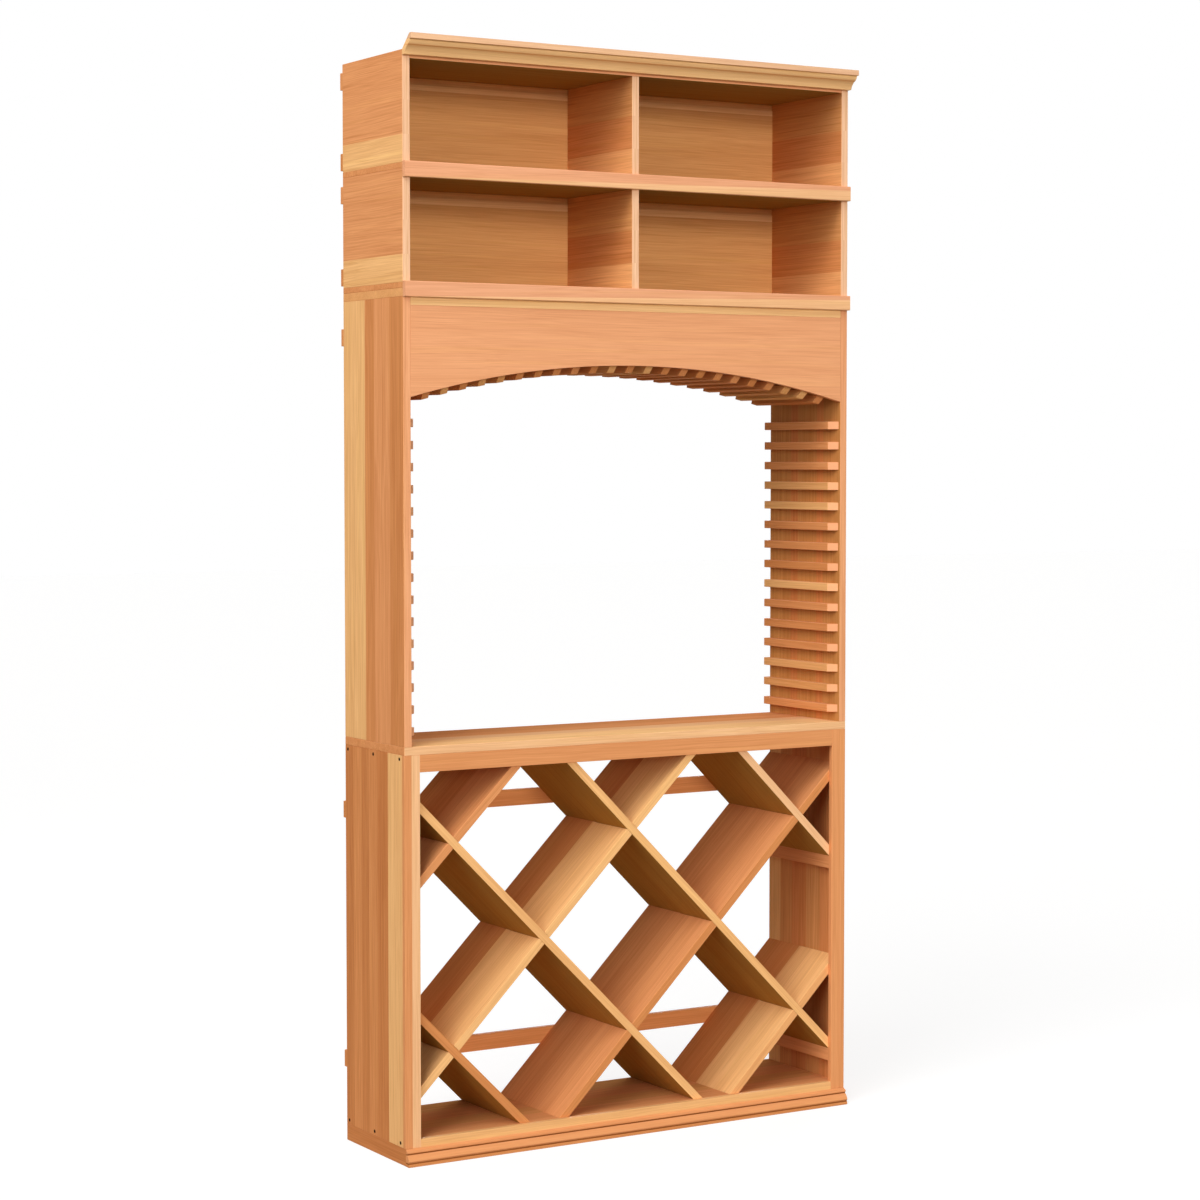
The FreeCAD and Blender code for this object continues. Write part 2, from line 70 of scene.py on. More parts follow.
class Slot(Enum):
    """Material slots of the record, one for each kind of board."""

    FRONT = "front_redwood"
    SIDE = "side_redwood"
    SHELF = "shelf_redwood"
    LATTICE = "lattice_redwood"
    SLAT = "slat_redwood"
    BACK = "back_redwood"
    SCREW = "dark_screw"


class Axis(Enum):
    """Directions of the station. LEANING is nearly upright, so that a glue line climbs along its board."""

    ACROSS = (1.0, 0.0, 0.0)
    INWARD = (0.0, 1.0, 0.0)
    UPRIGHT = (0.0, 0.0, 1.0)
    RISING = (1.0, 0.0, 1.0)
    FALLING = (1.0, 0.0, -1.0)
    LEANING = (-0.02, 0.0, 1.0)

    def vector(self) -> Vector:
        """The direction as a unit vector."""
        return Vector(self.value).normalized()


class Cut(Enum):
    """How a kind of board is cut: its slot, the way of its grain, and the way in which its staves lie."""

    RAIL = (Slot.FRONT, Axis.ACROSS, Axis.UPRIGHT)
    STILE = (Slot.FRONT, Axis.UPRIGHT, Axis.ACROSS)
    LIP = (Slot.FRONT, Axis.ACROSS, Axis.LEANING)
    PANEL = (Slot.SIDE, Axis.UPRIGHT, Axis.INWARD)
    CHEEK = (Slot.SIDE, Axis.INWARD, Axis.UPRIGHT)
    SHELF = (Slot.SHELF, Axis.ACROSS, Axis.INWARD)
    BATTEN = (Slot.BACK, Axis.ACROSS, Axis.UPRIGHT)
    LEDGER = (Slot.BACK, Axis.INWARD, Axis.UPRIGHT)
    FALLING = (Slot.LATTICE, Axis.FALLING, Axis.INWARD)
    RISING = (Slot.LATTICE, Axis.RISING, Axis.INWARD)

    def __init__(self, slot: Slot, along: Axis, across: Axis) -> None:
        """Hold the slot and both ways.

        Args:
            slot: The board's material slot.
            along: The way that its grain runs.
            across: The way in which its staves lie, from low to high.
        """
        self.slot = slot
        self.along = along.vector()
        self.across = across.vector()


class Tone(Enum):
    """Colour of a stave of redwood, or a painted shade tone for faces in shade, as sRGB from 0 to 255."""

    HEART = (229, 157, 102)
    TAWNY = (217, 144, 87)
    BROWN = (206, 132, 76)
    # DUSK, OLIVE, MOSS and SOOT are painted shade: tones for grooves, bin ceilings, lattice undersides and
    # bore walls, where shade falls.
    DUSK = (150, 88, 42)
    OLIVE = (162, 130, 72)
    MOSS = (184, 138, 70)
    SOOT = (38, 24, 14)
    UMBER = (200, 138, 77)
    OAT = (221, 161, 99)
    SAP = (245, 190, 127)
    TAN = (222, 158, 98)
    HONEY = (237, 174, 114)
    ROSE = (238, 170, 122)
    BLUSH = (238, 173, 131)
    CREAM = (243, 191, 141)
    FAIR = (235, 187, 147)
    PEACH = (243, 196, 156)
    PALE = (251, 202, 142)

    def linear(self, lighter: float = 1.0) -> Triple:
        """The colour as linear light.

        Args:
            lighter: Factor on the whole colour, 1 for the tone as it is.

        Returns:
            Red, green and blue as linear values.
        """
        return tuple(linear_value(channel / 255) * lighter for channel in self.value)


Layout = Sequence[Union[Tone, float]]


def linear_value(value: float) -> float:
    """One sRGB channel, from 0 to 1, as linear light."""
    return value / 12.92 if value <= 0.04045 else ((value + 0.055) / 1.055) ** 2.4


def add_object(name: str, data: Any) -> bpy.types.Object:
    """Add an object with its mesh, light or camera to the scene.

    Args:
        name: Its name.
        data: What it shows.

    Returns:
        The object.
    """
    made = bpy.data.objects.new(name, data)
    bpy.context.scene.collection.objects.link(made)
    return made


def mesh_of(shape: bmesh.types.BMesh, name: str) -> bpy.types.Mesh:
    """Turn a finished shape into a mesh and free it.

    Args:
        shape: The shape.
        name: The mesh's name.

    Returns:
        The mesh.
    """
    mesh = bpy.data.meshes.new(name)
    shape.to_mesh(mesh)
    shape.free()
    return mesh


def fill_attribute(
    mesh: bpy.types.Mesh, name: str, kind: str, domain: str, rows: Iterable[Sequence[float]]
) -> None:
    """Write an attribute of vectors or colours on a mesh.

    Args:
        mesh: The mesh.
        name: The attribute's name.
        kind: FLOAT_VECTOR or FLOAT_COLOR.
        domain: CORNER or FACE.
        rows: One vector or colour for each corner or face.
    """
    attribute = mesh.attributes.new(name, kind, domain)
    key = "color" if kind == "FLOAT_COLOR" else "vector"
    attribute.data.foreach_set(key, [number for row in rows for number in row])


# Node trees


class NodeTree:
    """A node tree whose nodes are added by type, settings and sockets."""

    def __init__(self, tree: bpy.types.NodeTree) -> None:
        """Hold the tree's nodes and links."""
        self.nodes = tree.nodes
        self.links = tree.links

    def add(
        self, kind: str, settings: dict[str, Any] | None = None, sockets: dict[Any, Any] | None = None
    ) -> Any:
        """Add one node.

        Args:
            kind: The node's type name.
            settings: Properties set before the sockets; "stops" fills a colour ramp.
            sockets: Values or links by socket name or number.

        Returns:
            The new node.
        """
        node = self.nodes.new(kind)
        for name, value in (settings or {}).items():
            if name == "stops":
                self._fill_ramp(node.color_ramp, value)
            else:
                setattr(node, name, value)
        for key, value in (sockets or {}).items():
            self._feed(node.inputs[key], value)
        return node

    def _feed(self, socket: bpy.types.NodeSocket, value: Any) -> None:
        """Link or set one input socket.

        Args:
            socket: The input.
            value: A Signal, an output socket, or a plain value.
        """
        if isinstance(value, Signal):
            value = value.socket
        if isinstance(value, bpy.types.NodeSocket):
            self.links.new(value, socket)
        else:
            socket.default_value = value

    @staticmethod
    def _fill_ramp(ramp: bpy.types.ColorRamp, stops: Sequence[tuple[float, Tone]]) -> None:
        """Give a ramp its stops.

        Args:
            ramp: The ramp.
            stops: Pairs of a place and a tone, in order.
        """
        while len(ramp.elements) < len(stops):
            ramp.elements.new(1.0)
        for element, (place, tone) in zip(ramp.elements, stops):
            element.position = place
            element.color = (*tone.linear(), 1.0)

    def maths(self, operation: str, *values: Any, clamp: bool = False) -> "Signal":
        """A Math node on numbers or signals.

        Args:
            operation: The Math node's operation.
            values: Its operands.
            clamp: Whether the result is held between 0 and 1.

        Returns:
            The result.
        """
        settings = {"operation": operation, "use_clamp": clamp}
        return self.signal(self.add("ShaderNodeMath", settings, dict(enumerate(values))).outputs[0])

    def vector_maths(self, operation: str, *values: Any) -> bpy.types.NodeSocket:
        """A Vector Math node's vector output."""
        node = self.add("ShaderNodeVectorMath", {"operation": operation}, dict(enumerate(values)))
        return node.outputs["Vector"]

    def signal(self, socket: bpy.types.NodeSocket) -> "Signal":
        """Wrap a socket for arithmetic."""
        return Signal(self, socket)


class Signal:
    """A number in a node tree. Arithmetic on it adds Math nodes."""

    def __init__(self, tree: NodeTree, socket: bpy.types.NodeSocket) -> None:
        """Hold one output socket of a tree."""
        self.tree = tree
        self.socket = socket

    def __add__(self, other: Any) -> "Signal":
        """self + other."""
        return self.tree.maths("ADD", self, other)

    def __radd__(self, other: Any) -> "Signal":
        """other + self."""
        return self.tree.maths("ADD", other, self)

    def __sub__(self, other: Any) -> "Signal":
        """self - other."""
        return self.tree.maths("SUBTRACT", self, other)

    def __rsub__(self, other: Any) -> "Signal":
        """other - self."""
        return self.tree.maths("SUBTRACT", other, self)

    def __mul__(self, other: Any) -> "Signal":
        """self * other."""
        return self.tree.maths("MULTIPLY", self, other)

    def __rmul__(self, other: Any) -> "Signal":
        """other * self."""
        return self.tree.maths("MULTIPLY", other, self)

    def __truediv__(self, other: Any) -> "Signal":
        """self / other."""
        return self.tree.maths("DIVIDE", self, other)

    def __rtruediv__(self, other: Any) -> "Signal":
        """other / self."""
        return self.tree.maths("DIVIDE", other, self)

    def held(self) -> "Signal":
        """The number held between 0 and 1."""
        return self.tree.maths("ADD", self, 0.0, clamp=True)

    def ramp(self, low: float, high: float) -> "Signal":
        """A smooth step.

        Args:
            low: Where the result leaves 0.
            high: Where it reaches 1.

        Returns:
            The stepped number.
        """
        node = self.tree.add(
            "ShaderNodeMapRange",
            {"interpolation_type": "SMOOTHSTEP"},
            {"Value": self, "From Min": low, "From Max": high},
        )
        return self.tree.signal(node.outputs[0])


class ShaderTree(NodeTree):
    """The node tree of a material or of the world."""

    def __init__(self, owner: Union[bpy.types.Material, bpy.types.World]) -> None:
        """Empty the tree of a material or world.

        Args:
            owner: The material or world whose nodes are replaced.
        """
        owner.use_nodes = True
        super().__init__(owner.node_tree)
        self.nodes.clear()

    def attribute(self, name: str, output: str) -> bpy.types.NodeSocket:
        """An attribute of the mesh, as its vector or its colour."""
        return self.add("ShaderNodeAttribute", {"attribute_name": name}).outputs[output]

    def blend(self, factor: Any, first: Any, second: Any, way: str = "MIX") -> bpy.types.NodeSocket:
        """A colour Mix node.

        Args:
            factor: How much of the second colour.
            first: Colour or link.
            second: Colour or link.
            way: The blend type.

        Returns:
            The mixed colour.
        """
        settings = {"data_type": "RGBA", "blend_type": way, "clamp_factor": True}
        return self.add("ShaderNodeMix", settings, {0: factor, 6: first, 7: second}).outputs[2]

    def cast(self, colour: Any, factors: Triple) -> bpy.types.NodeSocket:
        """A colour times a factor for each channel."""
        return self.blend(1.0, colour, (*factors, 1.0), "MULTIPLY")

    def noise(self, at: Any, scale: float, octaves: float, rough: float) -> Any:
        """A Noise Texture node at a vector.

        Args:
            at: The vector link.
            scale: Cells to a unit of that vector.
            octaves: Layers of noise.
            rough: Share that each layer keeps.

        Returns:
            The node, for its number or colour output.
        """
        sockets = {"Vector": at, "Scale": scale, "Detail": octaves, "Roughness": rough}
        return self.add("ShaderNodeTexNoise", {"noise_dimensions": "3D"}, sockets)

    def bump(self, strength: float, depth: float, height: Signal) -> bpy.types.NodeSocket:
        """A normal that is tilted by a height.

        Args:
            strength: How much of it shows.
            depth: Its depth in metres.
            height: The height, from 0 to 1.

        Returns:
            The normal.
        """
        sockets = {"Strength": strength, "Distance": depth, "Height": height}
        return self.add("ShaderNodeBump", None, sockets).outputs["Normal"]

    def principled(self, sockets: dict[str, Any]) -> None:
        """End the tree in one Principled surface."""
        surface = self.add("ShaderNodeBsdfPrincipled", None, sockets)
        self.add("ShaderNodeOutputMaterial", None, {"Surface": surface.outputs[0]})


# Finishes


@dataclass(frozen=True)
class Figure:
    """One kind of mark in the wood, drawn out along the grain.

    Its scales are in cells to a metre. Its gain is how much it darkens, shows or bends the grain.
    """

    along: float
    across: float
    gain: float = 1.0
    octaves: float = 2.0
    rough: float = 0.5

    def noise(self, tree: ShaderTree, grain: bpy.types.NodeSocket) -> Any:
        """The mark's Noise Texture node.

        Args:
            tree: The material's tree.
            grain: Grain coordinates.

        Returns:
            The node.
        """
        drawn = tree.vector_maths("MULTIPLY", grain, (self.along, self.across, self.across))
        return tree.noise(drawn, 1.0, self.octaves, self.rough)

    def number(self, tree: ShaderTree, grain: bpy.types.NodeSocket) -> Signal:
        """The mark as a number from 0 to 1."""
        return tree.signal(self.noise(tree, grain).outputs[0])


@dataclass(frozen=True)
class Growth:
    """Growth rings: their width in metres, how they change along the board and from year to year."""

    width: float = 0.0042
    slope: float = 0.006
    year_scale: float = 38.0
    year_swing: float = 8.0
    late_wood: tuple[float, float] = (0.25, 0.9)
    year_end: tuple[float, float] = (0.93, 1.0)
    middle: float = 0.4

    def number(self, tree: ShaderTree, grain: bpy.types.NodeSocket) -> Signal:
        """Rings round the tree's heart: pale early wood that deepens and ends sharply.

        Args:
            tree: The material's tree.
            grain: The grain coordinates, with the heart on their own axis.

        Returns:
            0 in early wood to 1 in late wood.
        """
        flat = tree.vector_maths("MULTIPLY", grain, (self.slope, 1.0, 1.0))
        away = tree.add("ShaderNodeVectorMath", {"operation": "LENGTH"}, {0: flat})
        radius = tree.signal(away.outputs["Value"])
        sockets = {"W": radius * self.year_scale, "Scale": 1.0, "Detail": 2.0}
        years = tree.add("ShaderNodeTexNoise", {"noise_dimensions": "1D"}, sockets)
        turns = radius / self.width + tree.signal(years.outputs[0]) * self.year_swing
        year = tree.maths("FRACT", turns)
        return year.ramp(*self.late_wood) * (1 - year.ramp(*self.year_end))


@dataclass(frozen=True)
class Redwood:
    """Planed redwood under a thin clear finish, read from the board's own grain coordinates.

    The mesh carries grain_at (along, across and through the board, in metres), stave_colour,
    and worked (eased arris, end grain, and the painted highlight of a sawn slat bevel). The casts
    are factors on a colour's channels, and the edges are where a mark begins to show and shows in full.
    """

    name: str
    streaks: float
    bands: float
    rings: float
    dark_lines: float
    sheen: float = 0.08
    index: float = 1.42
    sway: Figure = Figure(1.5, 7.0, gain=0.022, rough=0.45)
    streak: Figure = Figure(2.4, 110.0, gain=1.7, octaves=4.0, rough=0.62)
    hair: Figure = Figure(6.0, 430.0, gain=2.6, rough=0.6)
    band: Figure = Figure(0.9, 24.0, gain=2.0)
    fibre: Figure = Figure(28.0, 1500.0, gain=0.12, octaves=3.0, rough=0.6)
    line: Figure = Figure(2.0, 270.0)
    line_edges: tuple[float, float] = (0.60, 0.70)
    gold: Figure = Figure(1.1, 74.0, gain=0.55)
    gold_edges: tuple[float, float] = (0.52, 0.74)
    growth: Growth = Growth()
    depth: float = 0.40
    end_depth: float = 0.08
    pale_cast: Triple = (1.05, 1.07, 1.10)
    deep_cast: Triple = (0.81, 0.71, 0.62)
    gold_cast: Triple = (1.06, 1.12, 1.04)
    arris_cast: Triple = (1.08, 1.10, 1.14)
    arris_share: float = 0.18
    bevel_highlight_share: float = 0.7
    roughness: float = 0.58
    streak_roughness: float = 0.16
    arris_roughness: float = 0.06
    end_roughness: float = 0.12
    relief: float = 0.22
    relief_depth: float = 0.0006
    fibre_relief: float = 0.6
    ring_relief: float = 0.3
    streak_relief: float = 0.25

    def material(self) -> bpy.types.Material:
        """Build the finish.

        Returns:
            The material.
        """
        made = bpy.data.materials.new(self.name)
        tree = ShaderTree(made)
        grain = tree.attribute("grain_at", "Vector")
        stave = tree.attribute("stave_colour", "Color")
        marks = tree.add("ShaderNodeSeparateXYZ", None, {0: tree.attribute("worked", "Vector")})
        # sawn marks the slats' sawn bevels and long edges, which take a painted highlight.
        arris, end_grain, sawn = (tree.signal(output) for output in marks.outputs)

        swayed = self._swayed(tree, grain)
        ring = self.growth.number(tree, swayed)
        streak = self.streak.number(tree, swayed)
        band = self.band.number(tree, swayed)
        hair = self.hair.number(tree, swayed)
        fibre = self.fibre.number(tree, grain)
        line = self.line.number(tree, swayed).ramp(*self.line_edges)
        gold = self.gold.number(tree, swayed).ramp(*self.gold_edges)

        dark = (
            self.depth
            + (streak - NOISE_MEAN) * (self.streak.gain * self.streaks)
            + (hair - NOISE_MEAN) * (self.hair.gain * self.streaks)
            + (band - NOISE_MEAN) * (self.band.gain * self.bands)
            + (ring - self.growth.middle) * self.rings
            + line * self.dark_lines
            + (fibre - NOISE_MEAN) * self.fibre.gain
            + end_grain * self.end_depth
        ).held()
        colour = tree.blend(dark, tree.cast(stave, self.pale_cast), tree.cast(stave, self.deep_cast))
        colour = tree.blend(gold * self.gold.gain, colour, tree.cast(colour, self.gold_cast))
        colour = tree.blend(arris * self.arris_share, colour, tree.cast(stave, self.arris_cast))
        # Painted highlight: sawn slat bevels and long edges are lightened toward BLUSH.
        colour = tree.blend(sawn * self.bevel_highlight_share, colour, (*Tone.BLUSH.linear(), 1.0))

        rough = (
            self.roughness
            + (streak - NOISE_MEAN) * self.streak_roughness
            - arris * self.arris_roughness
            + end_grain * self.end_roughness
        ).held()
        height = fibre * self.fibre_relief + ring * self.ring_relief + streak * self.streak_relief
        tree.principled(
            {
                "Base Color": colour,
                "Roughness": rough,
                "Normal": tree.bump(self.relief, self.relief_depth, height),
                "IOR": self.index,
                "Specular IOR Level": self.sheen,
            }
        )
        return made

    def _swayed(self, tree: ShaderTree, grain: bpy.types.NodeSocket) -> bpy.types.NodeSocket:
        """Bend the grain a little, slowly along the board.

        Args:
            tree: The material's tree.
            grain: The straight grain coordinates.

        Returns:
            The bent coordinates.
        """
        wander = self.sway.noise(tree, grain).outputs["Color"]
        centred = tree.vector_maths("SUBTRACT", wander, (NOISE_MEAN, NOISE_MEAN, NOISE_MEAN))
        shift = tree.vector_maths("MULTIPLY", centred, (0.0, self.sway.gain, self.sway.gain))
        return tree.vector_maths("ADD", grain, shift)


@dataclass(frozen=True)
class DarkScrewSteel:
    """Near-black steel of the screws, a little rubbed. Its near-black is partly the steel's own colour and
    partly painted shadow of the countersunk holes. The colours are linear light.
    """

    name: str
    # Near-black, partly painted shadow of the countersunk holes round the heads.
    colour: Triple = (0.0025, 0.0022, 0.002)
    rubbed: Triple = (0.008, 0.007, 0.006)
    cloud_scale: float = 420.0
    cloud_edges: tuple[float, float] = (0.45, 0.75)
    grit_scale: float = 2600.0
    roughness: float = 0.72
    cloud_roughness: float = 0.25
    sheen: float = 0.02
    relief: float = 0.25
    relief_depth: float = 0.0001

    def material(self) -> bpy.types.Material:
        """Build the finish.

        Returns:
            The material.
        """
        made = bpy.data.materials.new(self.name)
        tree = ShaderTree(made)
        at = tree.add("ShaderNodeTexCoord").outputs["Object"]
        cloud = tree.signal(tree.noise(at, self.cloud_scale, octaves=3.0, rough=0.6).outputs[0])
        grit = tree.signal(tree.noise(at, self.grit_scale, octaves=2.0, rough=0.5).outputs[0])
        worn = cloud.ramp(*self.cloud_edges)
        tree.principled(
            {
                "Base Color": tree.blend(worn, (*self.colour, 1.0), (*self.rubbed, 1.0)),
                "Roughness": self.roughness + cloud * self.cloud_roughness,
                "Specular IOR Level": self.sheen,
                "Normal": tree.bump(self.relief, self.relief_depth, grit),
            }
        )
        return made


@dataclass
class FinishRack:
    """One finish for each material slot, built when it is first asked for."""

    made: dict[Slot, bpy.types.Material] = field(default_factory=dict)

    RECIPES = {
        Slot.FRONT: Redwood("front_redwood_finish", streaks=0.48, bands=0.30, rings=0.08, dark_lines=0.20),
        Slot.SIDE: Redwood("side_redwood_finish", streaks=0.68, bands=0.40, rings=0.16, dark_lines=0.50),
        Slot.SHELF: Redwood(
            "shelf_redwood_finish", streaks=0.54, bands=0.38, rings=0.12, dark_lines=0.24, sheen=0.0
        ),
        Slot.LATTICE: Redwood(
            "lattice_redwood_finish", streaks=0.54, bands=0.38, rings=0.12, dark_lines=0.26, sheen=0.0
        ),
        Slot.SLAT: Redwood(
            "slat_redwood_finish", streaks=0.58, bands=0.34, rings=0.14, dark_lines=0.28, sheen=0.01
        ),
        Slot.BACK: Redwood("back_redwood_finish", streaks=0.50, bands=0.36, rings=0.12, dark_lines=0.24),
        Slot.SCREW: DarkScrewSteel("dark_screw_finish"),
    }

    def finish(self, slot: Slot) -> bpy.types.Material:
        """The material of a slot.

        Args:
            slot: The slot.

        Returns:
            Its material.
        """
        if slot not in self.made:
            self.made[slot] = self.RECIPES[slot].material()
        return self.made[slot]


# Boards


@dataclass(frozen=True)
class Stave:
    """One stave of a glued board: its tone and its width in millimetres, or 0 for a share of what is left."""

    tone: Tone
    width: float = 0.0


def staves_of(layout: Layout) -> list[Stave]:
    """Staves from tones, each followed by its width in millimetres where it has one.

    Args:
        layout: Tones and widths in order.

    Returns:
        The staves.
    """
    staves: list[Stave] = []
    for part in layout:
        if isinstance(part, Tone):
            staves.append(Stave(part))
        else:
            staves[-1] = Stave(staves[-1].tone, float(part))
    return staves


@dataclass(frozen=True)
class FaceTones:
    """Tones of a board's faces that look to the front, along its grain or down, and of its bores. The under
    and bores tones are painted shade: shade under a board and shadow in a screw hole.

    The limits are cosines between a face's normal and the way in question.
    """

    front: Tone | None = None
    ends: Tone | None = None
    under: Tone | None = None
    bores: Tone | None = None
    front_limit: float = 0.6
    under_limit: float = 0.65

    def tone(self, normal: Vector, sawn: bool, bored: bool) -> Tone | None:
        """The tone of one face.

        Args:
            normal: The way that it looks.
            sawn: Whether it cuts the grain.
            bored: Whether it is the wall of a bore.

        Returns:
            Its tone, or None where it has its stave's own.
        """
        # Bore walls take a painted shadow tone, and faces that look down take a painted shade tone.
        if self.bores and bored:
            return self.bores
        if self.front and normal.y < -self.front_limit:
            return self.front
        if self.ends and sawn:
            return self.ends
        if self.under and normal.z < -self.under_limit:
            return self.under
        return None


PLAIN = FaceTones()


@dataclass
class Joiner:
    """Turns CAD nodes into eased boards with grain, and hangs each on the frame.

    Its lengths are in millimetres and its angles in degrees. The three limits are cosines between a
    face's normal and an axis. The log's length and the distances to its heart are in metres.
    """

    nodes: dict[str, bpy.types.Object]
    rack: FinishRack
    carcass_back: float
    seed: int = 4631
    count: int = 0
    weld: float = 0.002
    glue_line: float = 0.0001
    flat_angle: float = 0.6
    sharp_angle: float = 28.0
    shading_angle: float = 42.0
    shortest_edge: float = 6.0
    seat_gap: float = 0.1
    bore_margin: float = 5.0
    sawn_limit: float = 0.72
    square_limit: float = 0.995
    bore_limit: float = 0.8
    tone_spread: float = 0.02
    log_length: float = 40.0
    nearest_heart: float = 1.2
    farthest_heart: float = 3.0

    def board(
        self, node: str, cut: Cut, layout: Layout, faces: FaceTones = PLAIN, arris: float = 0.9
    ) -> None:
        """Dress one CAD node as a board, or as a panel glued from staves.

        Args:
            node: The CAD node, whose shape is kept.
            cut: How the board is cut.
            layout: Its staves from low to high.
            faces: Tones of the faces that differ from their stave.
            arris: Width of the eased edges, in millimetres.
        """
        staves = staves_of(layout)
        shape = self._copy(node)
        self._ease(shape, arris * MM)
        seams = self._seams(shape, cut.across, staves)
        for place in seams[1:-1]:
            geometry = [*shape.verts, *shape.edges, *shape.faces]
            seam = cut.across * place
            bmesh.ops.bisect_plane(
                shape, geom=geometry, plane_co=seam, plane_no=cut.across, dist=self.glue_line * MM
            )
        mesh = mesh_of(shape, f"{node}_board")
        self._mark(mesh, node, cut, staves, seams, faces)
        self._hang(mesh, node, cut.slot)

    def _copy(self, node: str) -> bmesh.types.BMesh:
        """A merged copy of a CAD node's loose triangles, with its flat faces whole.

        Args:
            node: The CAD node.

        Returns:
            The copy.
        """
        shape = bmesh.new()
        shape.from_mesh(self.nodes[node].data)
        bmesh.ops.remove_doubles(shape, verts=shape.verts, dist=self.weld * MM)
        limit = math.radians(self.flat_angle)
        bmesh.ops.dissolve_limit(shape, angle_limit=limit, verts=shape.verts, edges=shape.edges)
        return shape

    def _ease(self, shape: bmesh.types.BMesh, width: float) -> None:
        """Round the long sharp edges a little, as sanding does, but not where battens seat.

        Args:
            shape: The board.
            width: Width of the eased edge, in metres.
        """
        sharp = [
            edge
            for edge in shape.edges
            if len(edge.link_faces) == 2
            and edge.calc_face_angle(0.0) > math.radians(self.sharp_angle)
            and edge.calc_face_angle_signed(0.0) > 0
            and edge.calc_length() > self.shortest_edge * MM
            and any(abs(vertex.co.y - self.carcass_back) > self.seat_gap * MM for vertex in edge.verts)
        ]
        bmesh.ops.bevel(
            shape, geom=sharp, offset=width, segments=2, profile=0.5, affect="EDGES", clamp_overlap=True
        )

    @staticmethod
    def _seams(shape: bmesh.types.BMesh, across: Vector, staves: Sequence[Stave]) -> list[float]:
        """Where the staves of a board begin and end, measured across it.

        Args:
            shape: The board.
            across: The way in which its staves lie.
            staves: The staves; those of no given width share what is left.

        Returns:
            One more place than there are staves.
        """
        reach = [vertex.co.dot(across) for vertex in shape.verts]
        low, high = min(reach), max(reach)
        given = sum(stave.width for stave in staves) * MM
        free = sum(1 for stave in staves if not stave.width)
        share = (high - low - given) / free
        seams = [low]
        for stave in staves:
            seams.append(seams[-1] + (stave.width * MM if stave.width else share))
        return seams

    def _mark(
        self,
        mesh: bpy.types.Mesh,
        node: str,
        cut: Cut,
        staves: Sequence[Stave],
        seams: Sequence[float],
        faces: FaceTones,
    ) -> None:
        """Write the grain coordinates, stave colours and worked edges on a board's mesh.

        Where a board's grain runs inward and its front has a tone, the front is a facing strip,
        whose grain runs across the board.

        Args:
            mesh: The mesh.
            node: The node's name, which sets the board's own seed.
            cut: How the board is cut.
            staves: Its staves.
            seams: Where the staves begin and end.
            faces: Tones of the faces that differ from their stave.
        """
        luck = random.Random(f"{self.seed} {node}")
        logs = [self._log(luck) for _ in staves]
        darkest, lightest = 1 - self.tone_spread, 1 + self.tone_spread
        paint = [stave.tone.linear(luck.uniform(darkest, lightest)) for stave in staves]
        along, across = cut.along, cut.across
        through = along.cross(across)
        low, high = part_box(node)
        margin = self.bore_margin * MM
        grain, colours, worked = [], [], []
        for face in mesh.polygons:
            place = face.center.dot(across)
            number = sum(1 for seam in seams[1:-1] if place > seam)
            sawn = abs(face.normal.dot(along)) > self.sawn_limit
            # Faces well inside the board's outline whose normals lie across X are bore walls, which take the
            # painted shadow tone where one is given.
            inside = all(low[way] + margin < face.center[way] < high[way] - margin for way in (1, 2))
            tone = faces.tone(face.normal, sawn, inside and abs(face.normal.x) < self.bore_limit)
            colours.append((*(tone.linear() if tone else paint[number]), 1.0))
            square = max(abs(face.normal.dot(way)) for way in (along, across, through)) > self.square_limit
            faced = cut.along == Axis.INWARD.vector() and tone is not None and tone is faces.front
            worked.append((0.0 if square or sawn else 1.0, 1.0 if sawn and not faced else 0.0, 0.0))
            ways = (across, along, through) if faced else (along, across, through)
            for index in face.loop_indices:
                at = mesh.vertices[mesh.loops[index].vertex_index].co
                grain.append(Vector([at.dot(way) for way in ways]) + logs[number])
        fill_attribute(mesh, "grain_at", "FLOAT_VECTOR", "CORNER", grain)
        fill_attribute(mesh, "stave_colour", "FLOAT_COLOR", "FACE", colours)
        fill_attribute(mesh, "worked", "FLOAT_VECTOR", "FACE", worked)

    def _log(self, luck: random.Random) -> Vector:
        """Where a stave was cut from its log.

        Args:
            luck: The board's own random numbers.

        Returns:
            Its place along the log, and from the heart.
        """
        angle = luck.uniform(0, math.tau)
        away = luck.uniform(self.nearest_heart, self.farthest_heart)
        along = luck.uniform(0, self.log_length)
        return Vector((along, away * math.cos(angle), away * math.sin(angle)))

    def _hang(self, mesh: bpy.types.Mesh, node: str, slot: Slot) -> None:
        """Make a board's mesh a piece that stands for its node.

        Args:
            mesh: The finished mesh.
            node: The node that it replaces.
            slot: Its material slot.
        """
        mesh.materials.append(self.rack.finish(slot))
        mesh.shade_smooth()
        mesh.set_sharp_from_angle(angle=math.radians(self.shading_angle))
        piece = add_object(f"{node}_piece", mesh)
        even = piece.modifiers.new("even_normals", "WEIGHTED_NORMAL")
        even.keep_sharp = True
        even.weight = 100
        self.seat(piece, node, slot)

    def seat(self, piece: bpy.types.Object, node: str, slot: Slot) -> None:
        """Ride a finished piece on the frame in place of its node.

        Args:
            piece: The piece.
            node: The node that it replaces.
            slot: Its material slot; not used.
        """
        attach(piece, BODY)
        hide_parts(node)
        self.count += 1
        log.info("%s: %d faces", piece.name, len(piece.data.polygons))


# Cabinet


